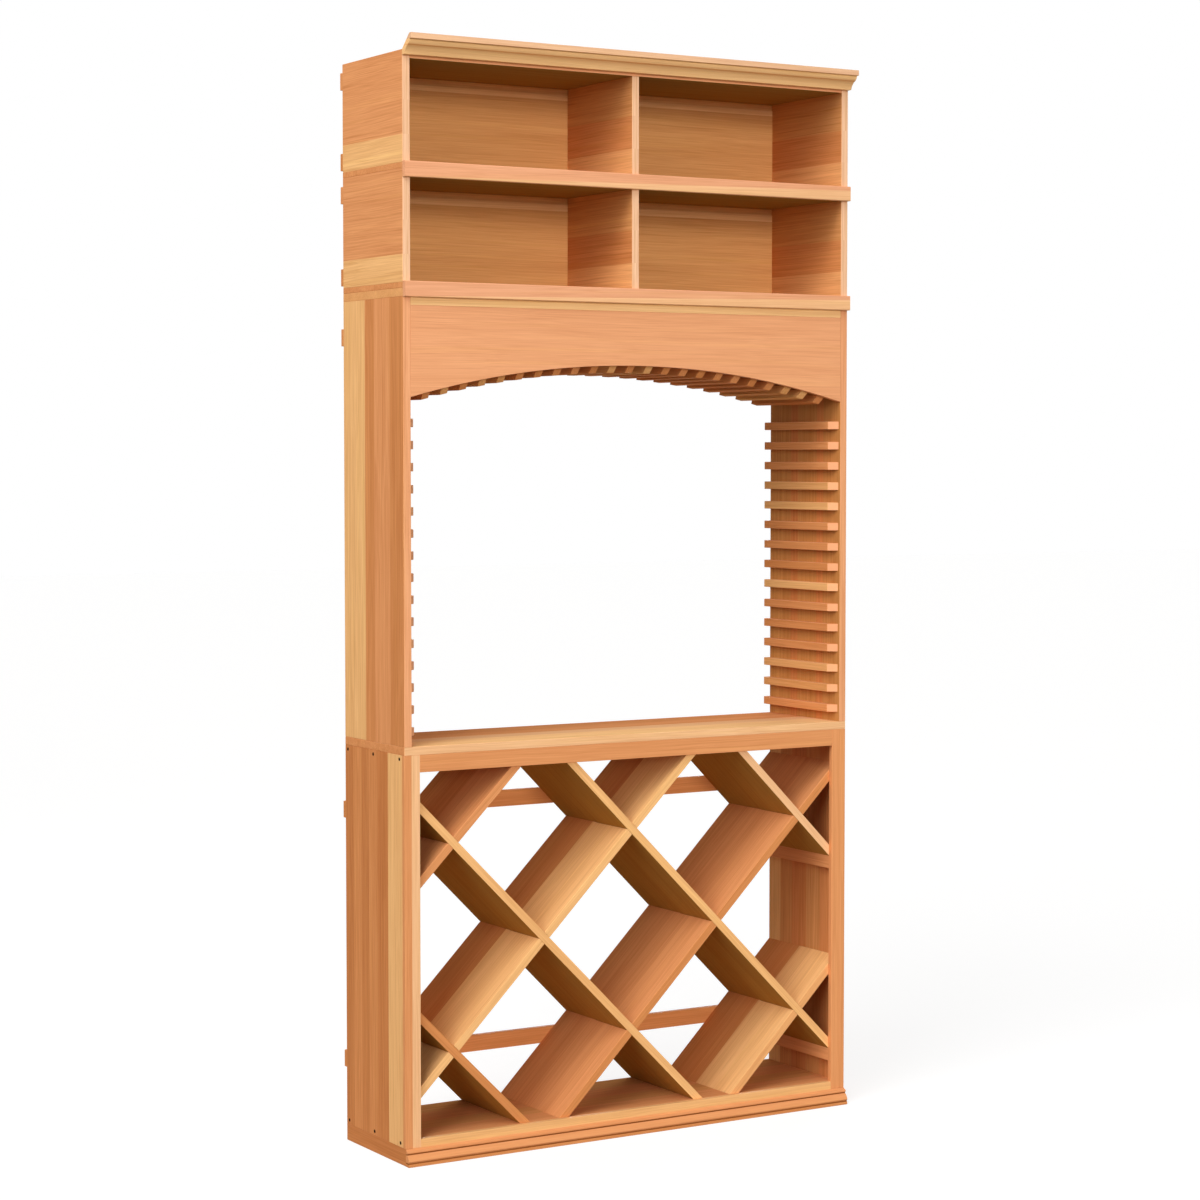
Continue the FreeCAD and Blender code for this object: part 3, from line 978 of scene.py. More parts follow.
@dataclass
class Cabinet:
    """The base cabinet: end panels, skids, face frame, floor, ceiling, table top and battens."""

    joiner: Joiner
    left_layout: Layout = (
        Tone.SAP, 70, Tone.BROWN, 52, Tone.TAWNY, 44, Tone.BROWN, 38, Tone.TAWNY, 42, Tone.BROWN,
    )
    right_layout: Layout = (Tone.TAWNY, 66, Tone.TAN, 58, Tone.TAWNY, 62, Tone.TAN, 50, Tone.SAP)
    shelf_layout: Layout = (Tone.HEART, 72, Tone.TAN, 64, Tone.HEART, 78, Tone.TAN)
    table_layout: Layout = (Tone.PALE, 96, Tone.CREAM, 60, Tone.HEART, 64, Tone.HEART)
    table_arris: float = 1.2

    def build(self) -> None:
        """Dress every board of the cabinet."""
        board = self.joiner.board
        for hand, layout in (("left", self.left_layout), ("right", self.right_layout)):
            # Bore walls in the end panels take a painted shadow tone, SOOT.
            board(f"{hand}_end_panel", Cut.PANEL, layout, FaceTones(bores=Tone.SOOT))
            board(f"{hand}_skid", Cut.CHEEK, [Tone.BROWN])
        board("left_stile", Cut.STILE, [Tone.HEART, 18, Tone.CREAM])
        board("right_stile", Cut.STILE, [Tone.HEART])
        board("top_rail", Cut.RAIL, [Tone.HEART])
        board("bottom_rail", Cut.RAIL, [Tone.SAP])
        board("cabinet_floor", Cut.SHELF, self.shelf_layout)
        board("cabinet_top", Cut.SHELF, self.shelf_layout)
        edges = FaceTones(front=Tone.CREAM, ends=Tone.HEART)
        board("table_top", Cut.SHELF, self.table_layout, edges, self.table_arris)
        for level in ("lower", "upper"):
            board(f"base_{level}_batten", Cut.BATTEN, [Tone.TAWNY])


# Lattice


@dataclass
class Lattice:
    """The diagonal bottle lattice: eight halved boards and the ledgers under their feet.

    Each board has its cut, its number, the tone of its front edge and its staves.
    """

    joiner: Joiner
    boards: tuple[tuple[Cut, int, Tone, Layout], ...] = (
        (Cut.FALLING, 1, Tone.TAWNY, (Tone.HEART, 150, Tone.BROWN)),
        (Cut.FALLING, 2, Tone.SAP, (Tone.TAN, 60, Tone.UMBER)),
        (Cut.FALLING, 3, Tone.SAP, (Tone.TAN, 80, Tone.UMBER)),
        (Cut.FALLING, 4, Tone.CREAM, (Tone.TAWNY, 140, Tone.UMBER)),
        (Cut.RISING, 1, Tone.HONEY, (Tone.SAP, 150, Tone.TAWNY)),
        (Cut.RISING, 2, Tone.TAWNY, (Tone.HEART, 168, Tone.HEART)),
        (Cut.RISING, 3, Tone.SAP, (Tone.SAP, 158, Tone.TAWNY)),
        (Cut.RISING, 4, Tone.HEART, (Tone.HEART, 130, Tone.TAWNY)),
    )

    def build(self) -> None:
        """Dress the boards and ledgers."""
        for cut, number, front, layout in self.boards:
            # The falling boards' undersides, which lie in shade, take a painted shade tone, MOSS.
            faces = FaceTones(front=front, under=Tone.MOSS if cut is Cut.FALLING else None)
            self.joiner.board(f"{cut.name.lower()}_lattice_board_{number}", cut, layout, faces)
        for hand in ("left", "right"):
            for level in ("lower", "upper"):
                self.joiner.board(f"{hand}_{level}_ledger", Cut.LEDGER, [Tone.HEART])


# Serving space


@dataclass
class ServingSpace:
    """The arched serving space without its slats: sides, valance, ribs, sub-top, cap and batten."""

    joiner: Joiner
    left_layout: Layout = (Tone.TAWNY, 66, Tone.HEART, 44, Tone.HEART, 34, Tone.TAWNY, 46, Tone.SAP)
    right_layout: Layout = (Tone.UMBER, 70, Tone.BROWN, 28, Tone.UMBER, 80, Tone.BROWN, 30, Tone.UMBER)
    shelf_layout: Layout = (Tone.TAN, 76, Tone.HEART, 70, Tone.TAN, 74, Tone.HEART)

    def build(self) -> None:
        """Dress its boards."""
        board = self.joiner.board
        for hand, layout in (("left", self.left_layout), ("right", self.right_layout)):
            board(f"arch_{hand}_side", Cut.PANEL, layout, FaceTones(front=Tone.ROSE))
        board("arch_valance", Cut.RAIL, [Tone.ROSE])
        board("arch_front_rib", Cut.BATTEN, [Tone.HEART])
        board("arch_rear_rib", Cut.BATTEN, [Tone.HEART])
        board("arch_sub_top", Cut.SHELF, self.shelf_layout, FaceTones(front=Tone.PALE))
        board("arch_cap", Cut.SHELF, self.shelf_layout, FaceTones(ends=Tone.HONEY))
        board("arch_batten", Cut.BATTEN, [Tone.HEART])


# Bins


@dataclass
class DoubleBin:
    """One open double bin with its lip: floor, sides, divider, top, back sheet and battens."""

    joiner: Joiner
    level: str
    outer_layout: Layout = (Tone.SAP, 62, Tone.HEART, 76, Tone.HEART)
    inner_layout: Layout = (Tone.HONEY, 62, Tone.TAWNY, 76, Tone.TAN)
    shelf_layout: Layout = (Tone.TAN, 82, Tone.TAN, 60, Tone.HEART, 84, Tone.TAN)
    back_layout: Layout = (Tone.OAT, 202, Tone.PALE)
    lip_layout: Layout = (Tone.CREAM, 25, Tone.BLUSH)
    back_arris: float = 0.4
    lip_arris: float = 0.6

    def build(self) -> None:
        """Dress its boards."""
        board = self.joiner.board
        name = f"{self.level}_bin"
        for part in ("left_side", "divider", "right_side"):
            layout = self.outer_layout if part == "left_side" else self.inner_layout
            board(f"{name}_{part}", Cut.CHEEK, layout, FaceTones(front=Tone.PEACH))
        board(f"{name}_floor", Cut.SHELF, self.shelf_layout, FaceTones(ends=Tone.HEART))
        # The bin top's underside takes a painted shade tone, OLIVE, for the shade inside the bin.
        board(f"{name}_top", Cut.SHELF, self.shelf_layout, FaceTones(front=Tone.ROSE, under=Tone.OLIVE))
        board(f"{name}_back", Cut.BATTEN, self.back_layout, arris=self.back_arris)
        board(f"{name}_low_batten", Cut.BATTEN, [Tone.TAWNY])
        board(f"{name}_high_batten", Cut.BATTEN, [Tone.SAP], FaceTones(ends=Tone.HEART))
        board(f"{self.level}_lip", Cut.LIP, self.lip_layout, arris=self.lip_arris)


# Mouldings


@dataclass
class Mouldings:
    """The crown moulding and the base moulding, whose tones change from member to member, with painted shadow
    lines in their grooves.
    """

    joiner: Joiner
    # The thin HONEY stave is a painted shadow line in the crown's quirk.
    crown_layout: Layout = (Tone.PALE, 18.7, Tone.HONEY, 2.2, Tone.PALE, 10.6, Tone.FAIR)
    # The two thin DUSK staves are painted shadow lines in the base moulding's grooves.
    base_layout: Layout = (
        Tone.TAWNY, 6.7, Tone.DUSK, 3.1, Tone.HEART, 16.8, Tone.DUSK, 2.3, Tone.HEART,
    )
    arris: float = 0.4

    def build(self) -> None:
        """Dress both mouldings."""
        self.joiner.board("crown_moulding", Cut.RAIL, self.crown_layout, arris=self.arris)
        # Faces of the base moulding that look down take a painted shade tone, DUSK.
        shade = FaceTones(under=Tone.DUSK)
        self.joiner.board("base_moulding", Cut.RAIL, self.base_layout, shade, self.arris)


# Geometry Nodes


class GeometryTree(NodeTree):
    """A Geometry Nodes tree that repeats a blank, with named inputs."""

    COMMON = {"Blank": "Object", "First": "Vector", "Seed": "Int", "Material": "Material"}

    def __init__(self, name: str, sizes: Sequence[str]) -> None:
        """Start a tree that takes points and gives geometry.

        Args:
            name: Its name.
            sizes: Names of its inputs that are numbers, beside the common ones.
        """
        self.group = bpy.data.node_groups.new(name, "GeometryNodeTree")
        super().__init__(self.group)
        sides = self.group.interface
        for way in ("INPUT", "OUTPUT"):
            sides.new_socket("Geometry", in_out=way, socket_type="NodeSocketGeometry")
        self.keys: dict[str, str] = {}
        for label, kind in {**self.COMMON, **dict.fromkeys(sizes, "Float")}.items():
            socket = sides.new_socket(label, in_out="INPUT", socket_type=f"NodeSocket{kind}")
            self.keys[label] = socket.identifier
        self.entry = self.nodes.new("NodeGroupInput")
        self.exit = self.nodes.new("NodeGroupOutput")
        self.index = self.signal(self.add("GeometryNodeInputIndex").outputs[0])

    def given(self, name: str) -> Signal:
        """The value of a named input inside the tree."""
        return self.signal(self.entry.outputs[name])

    def vector(self, **ways: Any) -> bpy.types.NodeSocket:
        """A vector from its X, Y and Z, 0 where one isn't given."""
        return self.add("ShaderNodeCombineXYZ", None, ways).outputs[0]

    def luck(self, kind: str, sockets: dict[Any, Any]) -> Any:
        """A random value for each piece, from the tree's seed.

        Args:
            kind: Its data type.
            sockets: Its lowest and highest value.

        Returns:
            The node.
        """
        given = {**sockets, "ID": self.index, "Seed": self.given("Seed")}
        return self.add("FunctionNodeRandomValue", {"data_type": kind}, given)

    def copies(self, offset: bpy.types.NodeSocket, turn: bpy.types.NodeSocket) -> bpy.types.NodeSocket:
        """Set a copy of the blank on each point.

        Args:
            offset: Its way from the first place.
            turn: Its turn about the axes.

        Returns:
            The instances.
        """
        place = self.vector_maths("ADD", self.given("First"), offset)
        points = self.add("GeometryNodeMeshToPoints", None, {0: self.given("Geometry")}).outputs[0]
        moved = self.add("GeometryNodeSetPosition", None, {"Geometry": points, "Position": place}).outputs[0]
        blank = self.add("GeometryNodeObjectInfo", None, {"Object": self.given("Blank")}).outputs["Geometry"]
        sockets = {"Points": moved, "Instance": blank, "Rotation": turn}
        return self.add("GeometryNodeInstanceOnPoints", None, sockets).outputs[0]

    def real(self, instances: bpy.types.NodeSocket) -> bpy.types.NodeSocket:
        """The instances as real geometry."""
        return self.add("GeometryNodeRealizeInstances", None, {0: instances}).outputs[0]

    def store(self, geometry: Any, name: str, kind: str, domain: str, value: Any) -> bpy.types.NodeSocket:
        """Store a named attribute on the geometry.

        Args:
            geometry: The geometry link.
            name: The attribute's name.
            kind: Its data type.
            domain: Its domain.
            value: The field to store.

        Returns:
            The geometry output.
        """
        settings = {"data_type": kind, "domain": domain}
        sockets = {"Geometry": geometry, "Name": name, "Value": value}
        return self.add("GeometryNodeStoreNamedAttribute", settings, sockets).outputs[0]

    def read(self, name: str, kind: str) -> bpy.types.NodeSocket:
        """A named attribute as a field."""
        return self.add("GeometryNodeInputNamedAttribute", {"data_type": kind}, {"Name": name}).outputs[0]

    def finish(self, geometry: bpy.types.NodeSocket) -> None:
        """Link the last geometry to the tree's output, with its material.

        Args:
            geometry: The geometry link.
        """
        sockets = {"Geometry": geometry, "Material": self.given("Material")}
        painted = self.add("GeometryNodeSetMaterial", None, sockets)
        self.links.new(painted.outputs[0], self.exit.inputs[0])


@dataclass
class Repeater:
    """Runs a Geometry Nodes tree on a set of points and hangs the result as one plain mesh."""

    joiner: Joiner
    tree: GeometryTree
    slot: Slot

    def hang(
        self, node: str, blank: bpy.types.Object, tones: Sequence[float], values: dict[str, Any]
    ) -> None:
        """Repeat a blank and hang the result in place of its node.

        Args:
            node: The CAD node that the copies stand for.
            blank: The object that is repeated, and then removed.
            tones: One number for each copy, kept on its point.
            values: The tree's other inputs by name.
        """
        points = bpy.data.meshes.new(f"{node}_points")
        points.from_pydata([(0.0, 0.0, 0.0)] * len(tones), [], [])
        mark = points.attributes.new("piece_tone", "FLOAT", "POINT")
        mark.data.foreach_set("value", list(tones))
        carrier = add_object(f"{node}_carrier", points)
        modifier = carrier.modifiers.new("repeat", "NODES")
        modifier.node_group = self.tree.group
        inputs = {**values, "Blank": blank, "Material": self.joiner.rack.finish(self.slot)}
        for name, value in inputs.items():
            modifier[self.tree.keys[name]] = value
        carrier.update_tag()
        bpy.context.view_layer.update()
        graph = bpy.context.evaluated_depsgraph_get()
        mesh = bpy.data.meshes.new_from_object(carrier.evaluated_get(graph), depsgraph=graph)
        mesh.name = f"{node}_mesh"
        carrier.modifiers.remove(modifier)
        bpy.data.objects.remove(carrier)
        bpy.data.objects.remove(blank)
        self.joiner.seat(add_object(f"{node}_piece", mesh), node, self.slot)


# Slats


class SlatTree(GeometryTree):
    """Slats along a straight or an arched run, each from its own stick of redwood.

    A stick's place lies between LOG_LOW and LOG_HIGH, along the log and from its heart, in metres.
    """

    STICK_TONES = (
        (0.0, Tone.BROWN),
        (0.3, Tone.TAWNY),
        (0.55, Tone.HEART),
        (0.75, Tone.TAN),
        (1.0, Tone.SAP),
    )
    LOG_LOW = (0.0, 1.0, 1.0)
    LOG_HIGH = (40.0, 2.6, 2.6)

    def __init__(self, name: str, arched: bool) -> None:
        """Build the tree.

        Args:
            name: Its name.
            arched: Whether the run is an arc about an axis from front to back.
        """
        super().__init__(name, ("Pitch", "Middle", "Radius"))
        run = (self.index - self.given("Middle")) * self.given("Pitch")
        if arched:
            radius = self.given("Radius")
            angle = run / radius
            offset = self.vector(X=self.maths("SINE", angle) * radius, Z=self.maths("COSINE", angle) * radius)
            turn = self.vector(Y=angle)
        else:
            offset = self.vector(Z=run)
            turn = self.vector()
        self.finish(self._own_grain(self.copies(offset, turn)))

    def _own_grain(self, row: bpy.types.NodeSocket) -> bpy.types.NodeSocket:
        """Give each slat its own place in the log and its own colour.

        Args:
            row: The instances.

        Returns:
            Their real geometry.
        """
        luck = self.luck("FLOAT_VECTOR", {0: self.LOG_LOW, 1: self.LOG_HIGH}).outputs[0]
        real = self.real(self.store(row, "log_place", "FLOAT_VECTOR", "INSTANCE", luck))
        shifted = self.vector_maths(
            "ADD", self.read("grain_at", "FLOAT_VECTOR"), self.read("log_place", "FLOAT_VECTOR")
        )
        grained = self.store(real, "grain_at", "FLOAT_VECTOR", "CORNER", shifted)
        tone = self.read("piece_tone", "FLOAT")
        ramp = self.add("ShaderNodeValToRGB", {"stops": self.STICK_TONES}, {0: tone})
        return self.store(grained, "stave_colour", "FLOAT_COLOR", "FACE", ramp.outputs[0])


@dataclass
class Slats:
    """All the slats of the serving space, made from one slat for each row.

    The tones run from the lowest slat up, and on the ceiling from left to right. Lengths are in
    millimetres.
    """

    joiner: Joiner
    section: float = 19.05
    arris: float = 0.7
    left_tones: tuple[float, ...] = (
        0.5, 0.3, 0.6, 0.45, 0.9, 0.4, 0.3, 0.55, 0.2, 0.4, 0.85, 0.3, 0.5, 0.35, 0.6,
    )
    right_tones: tuple[float, ...] = (
        0.4, 0.78, 0.86, 0.42, 0.35, 0.45, 0.98, 0.3, 0.4, 0.42, 0.92, 0.86, 0.45, 0.45, 0.58,
    )
    ceiling_tones: tuple[float, ...] = (
        0.4, 0.9, 0.3, 0.85, 0.8, 0.35, 0.3, 0.45, 0.5, 0.3, 0.9, 0.4,
        0.95, 0.35, 0.5, 0.3, 0.4, 0.55, 0.3, 0.45, 0.85, 0.95, 0.4,
    )
    left_seed: int = 11
    right_seed: int = 23
    ceiling_seed: int = 37
    square_limit: float = 0.99
    arc_steps: int = 40

    def build(self) -> None:
        """Make the rows on both sides and along the arched ceiling."""
        sides = Repeater(self.joiner, SlatTree("side_slat_row", arched=False), Slot.SLAT)
        ceiling = Repeater(self.joiner, SlatTree("ceiling_slat_row", arched=True), Slot.SLAT)
        self._side_row(sides, "left", self.left_tones, self.left_seed)
        self._side_row(sides, "right", self.right_tones, self.right_seed)
        self._ceiling_row(ceiling)

    def _blank(self, length: float, inward: Vector, name: str, bevel_highlight: float) -> bpy.types.Object:
        """One slat whose front end is bevelled away from the surface that carries it.

        Args:
            length: Its length, in metres.
            inward: The way from that surface into the space.
            name: Its name.
            bevel_highlight: How pale its bevel and long edges are, from 0 to 1.

        Returns:
            The slat, its foot at the front in the middle of the surface's line.
        """
        size = self.section * MM
        along = Axis.INWARD.vector()
        wide = along.cross(inward)
        shape = bmesh.new()
        corners = []
        for out in (0.0, size):
            for side in (-size / 2, size / 2):
                for back in (out, length):
                    corners.append(shape.verts.new(inward * out + wide * side + along * back))
        a, b, c, d, e, f, g, h = corners
        for loop in ((a, b, d, c), (e, g, h, f), (a, e, f, b), (c, d, h, g), (a, c, g, e), (b, f, h, d)):
            shape.faces.new(loop)
        bmesh.ops.recalc_face_normals(shape, faces=shape.faces)
        edges = list(shape.edges)
        bmesh.ops.bevel(shape, geom=edges, offset=self.arris * MM, segments=1, profile=0.5, affect="EDGES")
        mesh = mesh_of(shape, name)
        ways = (along, wide, inward)
        grain = [[mesh.vertices[loop.vertex_index].co.dot(way) for way in ways] for loop in mesh.loops]
        fill_attribute(mesh, "grain_at", "FLOAT_VECTOR", "CORNER", grain)
        fill_attribute(mesh, "worked", "FLOAT_VECTOR", "FACE", self._worked(mesh, ways, bevel_highlight))
        return add_object(name, mesh)

    def _worked(self, mesh: bpy.types.Mesh, ways: Sequence[Vector], bevel_highlight: float) -> list[Triple]:
        """Mark a slat's worked faces: its sawn bevel and long edges with a painted highlight, and its short
        edges eased.

        Args:
            mesh: The slat's mesh.
            ways: Its own three directions.
            bevel_highlight: How much painted highlight lightens its bevel and long edges, from 0 to 1.

        Returns:
            The worked value of each face.
        """
        rows = []
        for face in mesh.polygons:
            square = max(abs(face.normal.dot(way)) for way in ways) > self.square_limit
            # pale marks the bevel and long edges, which take the painted highlight.
            pale = face.area > (self.section * MM) ** 2 / 4 and not square
            rows.append((0.0 if square or pale else 1.0, 0.0, bevel_highlight if pale else 0.0))
        return rows

    def _side_row(self, repeater: Repeater, hand: str, tones: Sequence[float], seed: int) -> None:
        """Make the slats of one side.

        Args:
            repeater: The straight row's repeater.
            hand: left or right.
            tones: One tone for each slat, from the lowest up.
            seed: Seed of their grain.
        """
        node = f"{hand}_slats"
        low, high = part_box(node)
        inward = Vector((1.0 if hand == "left" else -1.0, 0.0, 0.0))
        # The side slats' bevels take the painted highlight; the ceiling slats' take none.
        blank = self._blank(high.y - low.y, inward, f"{node}_blank", bevel_highlight=1.0)
        half = self.section * MM / 2
        pitch = (high.z - low.z - 2 * half) / (len(tones) - 1)
        first = Vector((low.x if hand == "left" else high.x, low.y, low.z + half))
        repeater.hang(node, blank, tones, {"First": first, "Pitch": pitch, "Seed": seed})

    def _ceiling_row(self, repeater: Repeater) -> None:
        """Make the slats along the arch, which hang from the ribs.

        Args:
            repeater: The arched row's repeater.
        """
        node = "ceiling_slats"
        low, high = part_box(node)
        blank = self._blank(high.y - low.y, -Axis.UPRIGHT.vector(), f"{node}_blank", bevel_highlight=0.0)
        middle = (len(self.ceiling_tones) - 1) / 2
        radius, angle = self._arc((high.x - low.x) / 2, high.z - low.z)
        values = {
            "First": Vector(((low.x + high.x) / 2, low.y, high.z - radius)),
            "Pitch": angle * radius / middle,
            "Middle": middle,
            "Radius": radius,
            "Seed": self.ceiling_seed,
        }
        repeater.hang(node, blank, self.ceiling_tones, values)

    def _arc(self, reach: float, drop: float) -> tuple[float, float]:
        """The arc of a row of slats that fills a box, found in steps that halve what is missing.

        Args:
            reach: Half the box's width, in metres.
            drop: Its height, in metres.

        Returns:
            Radius of the slats' seats, in metres, and the last slat's angle from the middle.
        """
        size = self.section * MM
        radius = (reach**2 + drop**2) / (2 * drop)
        angle = reach / radius
        for _ in range(self.arc_steps):
            angle = math.asin((reach - size / 2 * math.cos(angle)) / radius)
            lowest = radius - (radius - size) * math.cos(angle) + size / 2 * math.sin(angle)
            radius *= 1 + (lowest - drop) / (2 * drop)
        return radius, angle


# Screws


class ScrewTree(GeometryTree):
    """Screws in rows and columns on a panel, each turned a little differently."""

    def __init__(self) -> None:
        """Build the tree."""
        super().__init__("screw_rows", ("Columns", "Column pitch", "Row pitch"))
        columns = self.given("Columns")
        back = self.maths("FLOORED_MODULO", self.index, columns) * self.given("Column pitch")
        up = self.maths("FLOOR", self.index / columns) * self.given("Row pitch")
        spin = self.luck("FLOAT", {2: 0.0, 3: math.tau}).outputs[1]
        self.finish(self.real(self.copies(self.vector(Y=back, Z=up), self.vector(X=spin))))


@dataclass
class Screws:
    """The countersunk screws of both end panels, with a cross recess in each head.

    Lengths are in millimetres. seat is the radius that the CAD node gives a head.
    """

    joiner: Joiner
    columns: int = 3
    rows: int = 2
    seat: float = 4.0
    head: float = 7.9
    rim: float = 0.25
    shank: float = 4.1
    point: float = 7.0
    point_share: float = 0.45
    point_wide_share: float = 0.55
    recess: float = 4.4
    recess_wide: float = 1.0
    recess_deep: float = 1.6
    recess_floor_share: float = 0.45
    sides: int = 24
    left_seed: int = 3
    right_seed: int = 9

    def build(self) -> None:
        """Make the screws of both sides."""
        repeater = Repeater(self.joiner, ScrewTree(), Slot.SCREW)
        for hand, inward, seed in (("left", 1.0, self.left_seed), ("right", -1.0, self.right_seed)):
            node = f"{hand}_screws"
            low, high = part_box(node)
            seat = self.seat * MM
            values = {
                "First": Vector((low.x if hand == "left" else high.x, low.y + seat, low.z + seat)),
                "Columns": float(self.columns),
                "Column pitch": (high.y - low.y - 2 * seat) / (self.columns - 1),
                "Row pitch": (high.z - low.z - 2 * seat) / (self.rows - 1),
                "Seed": seed,
            }
            screw = self._screw(high.x - low.x, inward, f"{hand}_screw_blank")
            repeater.hang(node, screw, [0.0] * (self.columns * self.rows), values)

    def _screw(self, length: float, inward: float, name: str) -> bpy.types.Object:
        """One screw along the X axis, its head's face at the origin.

        Args:
            length: Its whole length, in metres.
            inward: 1 where it is driven to the right, -1 to the left.
            name: Its name.

        Returns:
            The screw.
        """
        shape = bmesh.new()
        radius, core = self.head / 2 * MM, self.shank / 2 * MM
        rim, point = self.rim * MM, self.point * MM
        ring = self._ring(shape, radius, rim)
        face = self._ring(shape, radius - rim, 0.0)
        self._bridge(shape, face, ring)
        for size, deep in (
            (core, rim + radius - core),
            (core, length - point),
            (core * self.point_wide_share, length - point * self.point_share),
        ):
            following = self._ring(shape, size, deep)
            self._bridge(shape, ring, following)
            ring = following
        tip = shape.verts.new((length, 0.0, 0.0))
        for index, vertex in enumerate(ring):
            shape.faces.new((vertex, ring[(index + 1) % self.sides], tip))
        self._cross_recess(shape, face)
        if inward < 0:
            bmesh.ops.scale(shape, vec=(-1.0, 1.0, 1.0), verts=shape.verts)
        bmesh.ops.recalc_face_normals(shape, faces=shape.faces)
        return add_object(name, mesh_of(shape, name))

    def _ring(self, shape: bmesh.types.BMesh, radius: float, deep: float) -> list[bmesh.types.BMVert]:
        """A ring of vertices about the screw's axis."""
        angles = [math.tau * step / self.sides for step in range(self.sides)]
        return [shape.verts.new((deep, radius * math.cos(a), radius * math.sin(a))) for a in angles]

    @staticmethod
    def _bridge(
        shape: bmesh.types.BMesh, first: Sequence[bmesh.types.BMVert], second: Sequence[bmesh.types.BMVert]
    ) -> None:
        """Join two rings with quads.

        Args:
            shape: The screw.
            first: The ring on one side.
            second: The ring on the other side, with as many vertices.
        """
        for index in range(len(first)):
            after = (index + 1) % len(first)
            shape.faces.new((first[index], first[after], second[after], second[index]))

    def _cross_recess(self, shape: bmesh.types.BMesh, face: Sequence[bmesh.types.BMVert]) -> None:
        """Sink a tapered cross into the head's face.

        Args:
            shape: The screw.
            face: The ring round the head's face.
        """
        arm, half, deep = self.recess / 2 * MM, self.recess_wide / 2 * MM, self.recess_deep * MM
        outline = [(arm, -half), (arm, half), (half, half), (half, arm), (-half, arm), (-half, half)]
        outline += [(-y, -z) for y, z in outline]
        share = self.recess_floor_share
        top = [shape.verts.new((0.0, y, z)) for y, z in outline]
        floor = [shape.verts.new((deep, y * share, z * share)) for y, z in outline]
        self._bridge(shape, top, floor)
        shape.faces.new(floor)
        loops = []
        for ring in (face, top):
            for index, vertex in enumerate(ring):
                after = ring[(index + 1) % len(ring)]
                loops.append(shape.edges.get((vertex, after)) or shape.edges.new((vertex, after)))
        bmesh.ops.triangle_fill(shape, use_beauty=True, use_dissolve=False, edges=loops)


# Studio


@dataclass(frozen=True)
class DistantLamp:
    """A wide light far away, which falls evenly from top to bottom.

    It has the way to it from the station, its width in degrees and its watts on a square metre.
    """

    name: str
    toward: Triple
    spread: float
    strength: float

    def light(self) -> None:
        """Set the lamp."""
        data = bpy.data.lights.new(self.name, "SUN")
        data.angle = math.radians(self.spread)
        data.energy = self.strength
        lamp = add_object(self.name, data)
        lamp.rotation_mode = "QUATERNION"
        lamp.rotation_quaternion = Vector(self.toward).to_track_quat("Z", "Y")


@dataclass(frozen=True)
class Softbox:
    """A square softbox: its place, the point that it faces and its side in metres, and its watts."""

    name: str
    at: Triple
    aim: Triple
    side: float
    power: float

    def light(self) -> None:
        """Hang the softbox."""
        data = bpy.data.lights.new(self.name, "AREA")
        data.shape = "SQUARE"
        data.size = self.side
        data.energy = self.power
        lamp = add_object(self.name, data)
        lamp.location = self.at
        lamp.rotation_mode = "QUATERNION"
        lamp.rotation_quaternion = (Vector(self.aim) - Vector(self.at)).to_track_quat("-Z", "Y")


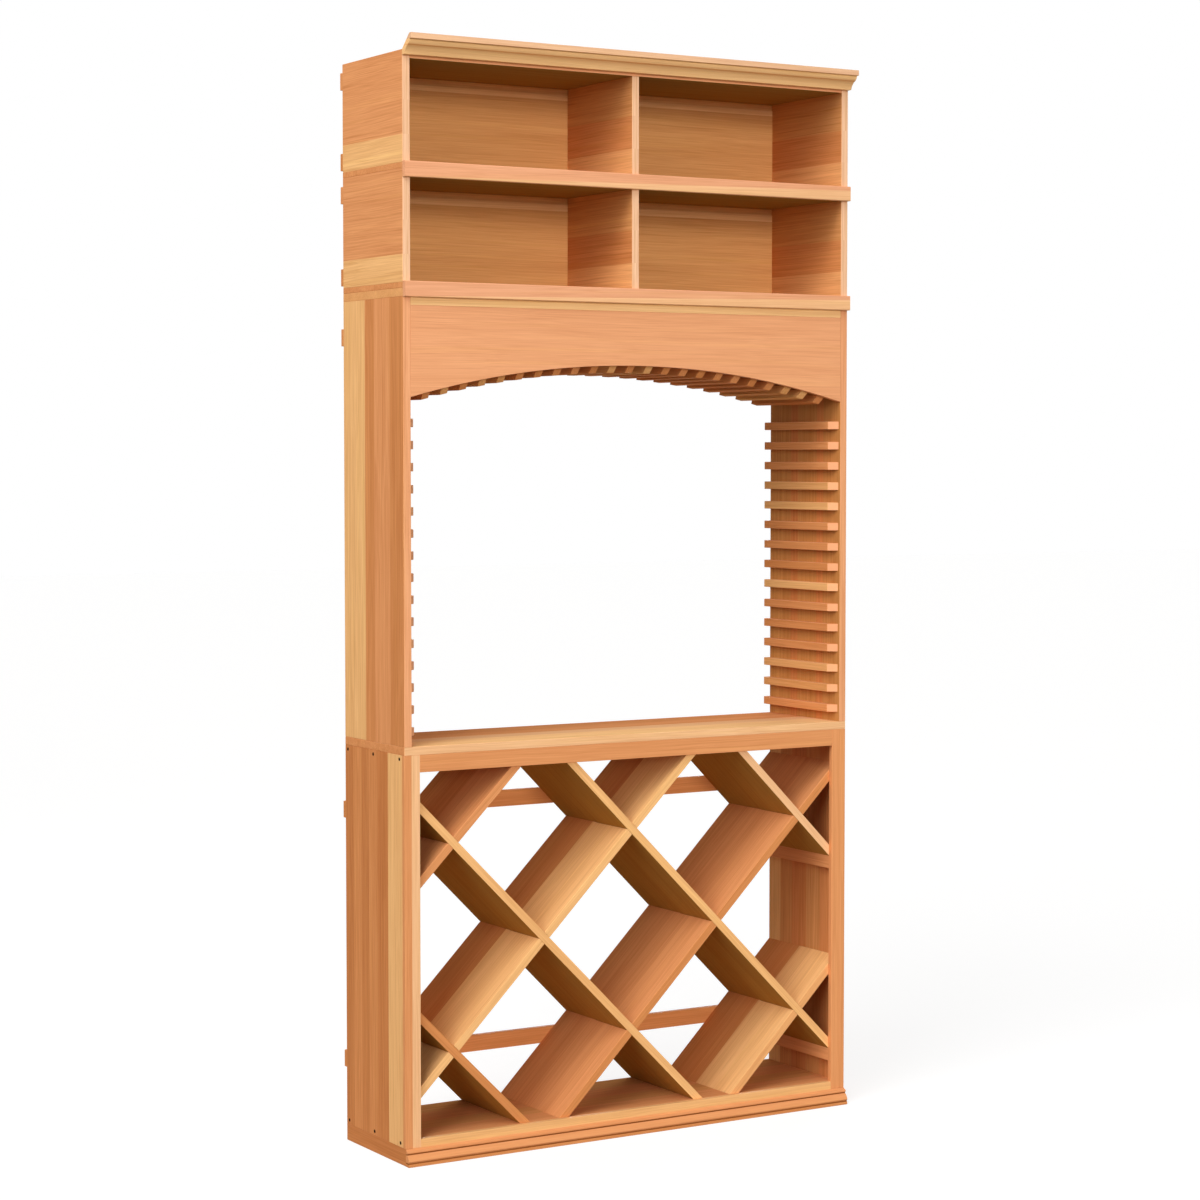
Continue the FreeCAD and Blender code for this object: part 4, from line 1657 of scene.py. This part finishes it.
@dataclass
class Studio:
    """Camera, soft lights, pale floor and white background.

    Places are in metres, turns in degrees, and the lens and the sensor in millimetres.
    """

    camera_at: Triple = (-3.5375, -5.8056, 1.60966)
    camera_turn: Triple = (87.05, 0.0, -31.24)
    lens: float = 85.59
    sensor: float = 36.0
    view_reach: float = 200.0
    lamps: tuple[Union[DistantLamp, Softbox], ...] = (
        DistantLamp("front_light", (-0.12, -0.98, 0.15), 18.0, 1.58),
        DistantLamp("side_light", (-0.78, -0.38, 0.50), 46.0, 1.74),
        DistantLamp("rear_light", (0.68, 0.70, 0.22), 40.0, 2.00),
        Softbox("near_softbox", (-2.8, -1.7, 5.2), (-0.4, 0.0, 1.6), 2.2, 84.0),
    )
    world_light: float = 0.17
    world_colour: Colour = (1.0, 0.965, 0.91, 1.0)
    floor_size: float = 60.0
    floor_drop: float = 0.0006
    floor_shade: Colour = (0.28, 0.28, 0.28, 1.0)
    floor_glow: float = 0.81
    floor_bounce: Colour = (0.33, 0.29, 0.225, 1.0)

    def build(self) -> None:
        """Set up everything round the station."""
        self._camera()
        self._world()
        self._floor()
        for lamp in self.lamps:
            lamp.light()
        bpy.context.scene.view_settings.view_transform = "Standard"
        log.info("studio is lit")

    def _camera(self) -> None:
        """Place the camera at the photograph's viewpoint."""
        data = bpy.data.cameras.new("camera")
        data.lens = self.lens
        data.sensor_width = self.sensor
        data.clip_end = self.view_reach
        camera = add_object("camera", data)
        camera.location = self.camera_at
        camera.rotation_euler = [math.radians(angle) for angle in self.camera_turn]
        bpy.context.scene.camera = camera

    @staticmethod
    def _show(tree: ShaderTree, output: str, lit: Any, seen: Any) -> None:
        """End a tree in one shader for the light that it gives and one for how it is seen.

        Args:
            tree: The tree.
            output: Type name of its output node.
            lit: The shader that lights the station.
            seen: The shader for rays from the camera, a mirror or glass.
        """
        path = tree.add("ShaderNodeLightPath")
        direct = tree.signal(path.outputs["Is Camera Ray"]) + tree.signal(path.outputs["Is Glossy Ray"])
        direct = (direct + tree.signal(path.outputs["Is Transmission Ray"])).held()
        mixed = tree.add("ShaderNodeMixShader", None, {0: direct, 1: lit.outputs[0], 2: seen.outputs[0]})
        tree.add(output, None, {"Surface": mixed.outputs[0]})

    def _world(self) -> None:
        """White where it is seen, and softer where it lights the station."""
        world = bpy.data.worlds.new("backdrop")
        bpy.context.scene.world = world
        tree = ShaderTree(world)
        sockets = {"Color": self.world_colour, "Strength": self.world_light}
        lit = tree.add("ShaderNodeBackground", None, sockets)
        seen = tree.add("ShaderNodeBackground", None, {"Color": WHITE, "Strength": 1.0})
        self._show(tree, "ShaderNodeOutputWorld", lit, seen)

    def _floor(self) -> None:
        """A wide pale floor that keeps the station's shadow."""
        half, low = self.floor_size / 2, -self.floor_drop
        mesh = bpy.data.meshes.new("floor_mesh")
        corners = [(-half, -half, low), (half, -half, low), (half, half, low), (-half, half, low)]
        mesh.from_pydata(corners, [], [(0, 1, 2, 3)])
        material = bpy.data.materials.new("floor_finish")
        tree = ShaderTree(material)
        matt = tree.add("ShaderNodeBsdfDiffuse", None, {"Color": self.floor_shade})
        glow = tree.add("ShaderNodeEmission", None, {"Color": WHITE, "Strength": self.floor_glow})
        pale = tree.add("ShaderNodeAddShader", None, {0: matt.outputs[0], 1: glow.outputs[0]})
        plain = tree.add("ShaderNodeBsdfDiffuse", None, {"Color": self.floor_bounce})
        self._show(tree, "ShaderNodeOutputMaterial", plain, pale)
        mesh.materials.append(material)
        floor = add_object("floor", mesh)


def main() -> None:
    """Build and dress the whole station."""
    logging.basicConfig(level=logging.INFO, format="%(name)s %(message)s")
    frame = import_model()
    joiner = Joiner(nodes=frame["nodes"], rack=FinishRack(), carcass_back=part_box("table_top")[1].y)
    Studio().build()
    for assembly in (
        Cabinet(joiner),
        Lattice(joiner),
        ServingSpace(joiner),
        Slats(joiner),
        DoubleBin(joiner, "lower"),
        DoubleBin(joiner, "upper"),
        Mouldings(joiner),
        Screws(joiner),
    ):
        assembly.build()
        log.info("%s is dressed", type(assembly).__name__)
    log.info("%d pieces", joiner.count)


if __name__ == "__main__":
    main()
